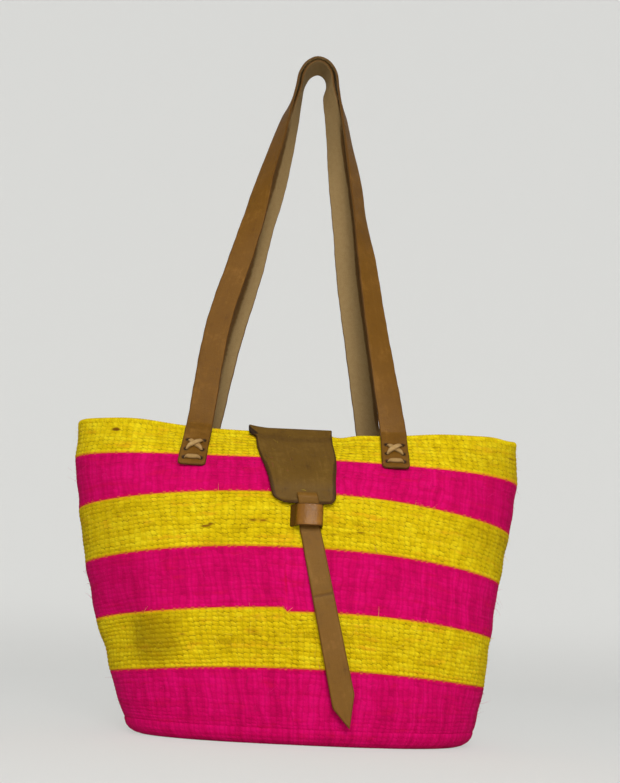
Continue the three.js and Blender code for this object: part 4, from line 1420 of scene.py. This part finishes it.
def fibres(name, bands, material):
    count = FIBRES // 2
    picked = random.integers(len(bands), size=count)
    row = ROW_STARTS[bands][picked] + random.uniform(0.3, 1, count) * ROWS[bands][picked]
    angle = rib_angles(random.uniform(0, RIBS, count))
    level = np.minimum(level_of_row(row, hem_start(angle)), RIM_LEVEL - 0.02)
    out = outward(level, angle)
    root = dented(skin(level, angle), out)
    along = unit(np.cross(out, UP))
    lean = random.uniform(0, 2 * math.pi, count)[:, None]
    flat = along * np.cos(lean) + np.cross(out, along) * np.sin(lean)
    loose = random.random(count)[:, None] < LOOSE_SHARE
    length = random.uniform(0.002, 0.008, count)[:, None] * (1 + 0.6 * loose)
    stand = random.uniform(0.1, 0.7, count)[:, None] + 0.3 * loose
    droop = random.uniform(-0.3, 0.15, count)[:, None] * UP
    wide = np.cross(out, flat) * random.uniform(0.00006, 0.00012, count)[:, None] * (1 + 0.4 * loose)
    sides = []
    for t in np.arange(FIBRE_STEPS + 1) / FIBRE_STEPS:
        place = root + length * (flat * t + out * stand * (t - 0.3 * t * t) + droop * t * t)
        taper = wide * (1 - 0.85 * t)
        sides += [place - taper, place + taper]
    k = np.arange(FIBRE_STEPS) * 2
    quads = np.stack([k, k + 1, k + 3, k + 2], -1)
    faces = (np.arange(count)[:, None, None] * len(sides) + quads).reshape(-1, 4)
    tone = np.repeat(random.uniform(0, 1, count), len(sides))
    piece = make_piece(name, np.stack(sides, 1), faces, material, "basket", {"tone": tone})


yellow_fibre = fibre_look("yellow_fibre", (250, 226, 60), (196, 150, 20))
magenta_fibre = fibre_look("magenta_fibre", (226, 30, 120), (150, 0, 60))
fibres("yellow_fibres", [1, 3, 5], yellow_fibre)
fibres("magenta_fibres", [0, 2, 4], magenta_fibre)
print("fibres:", FIBRES)

# %% [markdown]
# Light: a pale floor that curves up all round, a wide soft lamp in front and above, a weak fill to its left,
# and a small one low down that opens the shadow of the flared wall.

# %%
# Stage and lights
STAGE_RADIUS = 2.3
STAGE_CURVE = 0.8
STAGE_HEIGHT = 3.6
STAGE_FLAT = 0.6
STAGE_COLUMNS = 96
STAGE_STEPS = 12
STAGE_GAP = 0.0002
# Each lamp is its place, what it aims at, its size and its power
LAMPS = {
    "key": ((0.15, -1.45, 0.72), (0, 0, 0.22), 0.6, 11.7),
    "fill": ((-0.2, -1.5, 0.9), (0, 0, 0.25), 1.2, 2.5),
    "low": ((0.1, -1.5, 0.45), (0, 0, 0.12), 0.6, 3.2),
}
WORLD_STRENGTH = 0.45


def make_stage():
    """A floor and a backdrop in one. Part of what the camera sees of it is an even glow."""
    n = Nodes("pale_backdrop")
    rise = n.value("rise")
    color = n.mix(n.smooth(rise, 0.0, 0.08), srgb(220, 220, 217), srgb(240, 240, 237))
    material = n.look(color, 0.9, Specular_IOR_Level=0.1)
    glow = n.new("ShaderNodeEmission", {"Color": srgb(233, 233, 230)})
    seen = n.new("ShaderNodeLightPath", (), "Is Camera Ray")
    part = seen * n.smooth(rise, 0.0, 0.06, 0.6, 0.72)
    blend = n.new("ShaderNodeMixShader", [part, Value(n, n.shader.outputs[0]), glow])
    n.put(n.tree.nodes["Material Output"].inputs["Surface"], blend)
    corner = STAGE_RADIUS - STAGE_CURVE
    profile = [(0.0, 0.0), (STAGE_FLAT, 0.0), (corner, 0.0)]
    for k in range(1, STAGE_STEPS + 1):
        turn = math.pi / 2 * k / STAGE_STEPS
        profile.append((corner + STAGE_CURVE * math.sin(turn), STAGE_CURVE * (1 - math.cos(turn))))
    profile.append((STAGE_RADIUS, STAGE_HEIGHT))
    angles = np.arange(STAGE_COLUMNS) / STAGE_COLUMNS * 2 * math.pi
    rings = [[(r * math.cos(a), r * math.sin(a), z - STAGE_GAP) for a in angles] for r, z in profile]
    points = np.array(rings)
    faces = ring_faces(len(profile), STAGE_COLUMNS)
    values = {"rise": clamp(points[..., 2] / STAGE_HEIGHT)}
    stage = make_piece("floor_and_backdrop", points, faces, material, None, values)


def make_lamp(name, place, target, size, power):
    lamp = bpy.data.lights.new(name, "AREA")
    lamp.shape = "DISK"
    lamp.size = size
    lamp.energy = power
    holder = bpy.data.objects.new(name, lamp)
    holder.location = place
    aim = Vector(target) - Vector(place)
    holder.rotation_euler = aim.to_track_quat("-Z", "Y").to_euler()
    bpy.context.scene.collection.objects.link(holder)


make_stage()
for name, settings in LAMPS.items():
    make_lamp(name, *settings)
world = bpy.data.worlds.new("studio")
world.use_nodes = True
world.node_tree.nodes["Background"].inputs["Color"].default_value = srgb(244, 246, 250)
world.node_tree.nodes["Background"].inputs["Strength"].default_value = WORLD_STRENGTH
bpy.context.scene.world = world
bpy.context.scene.view_settings.view_transform = "Standard"
print("lamps:", len(LAMPS))
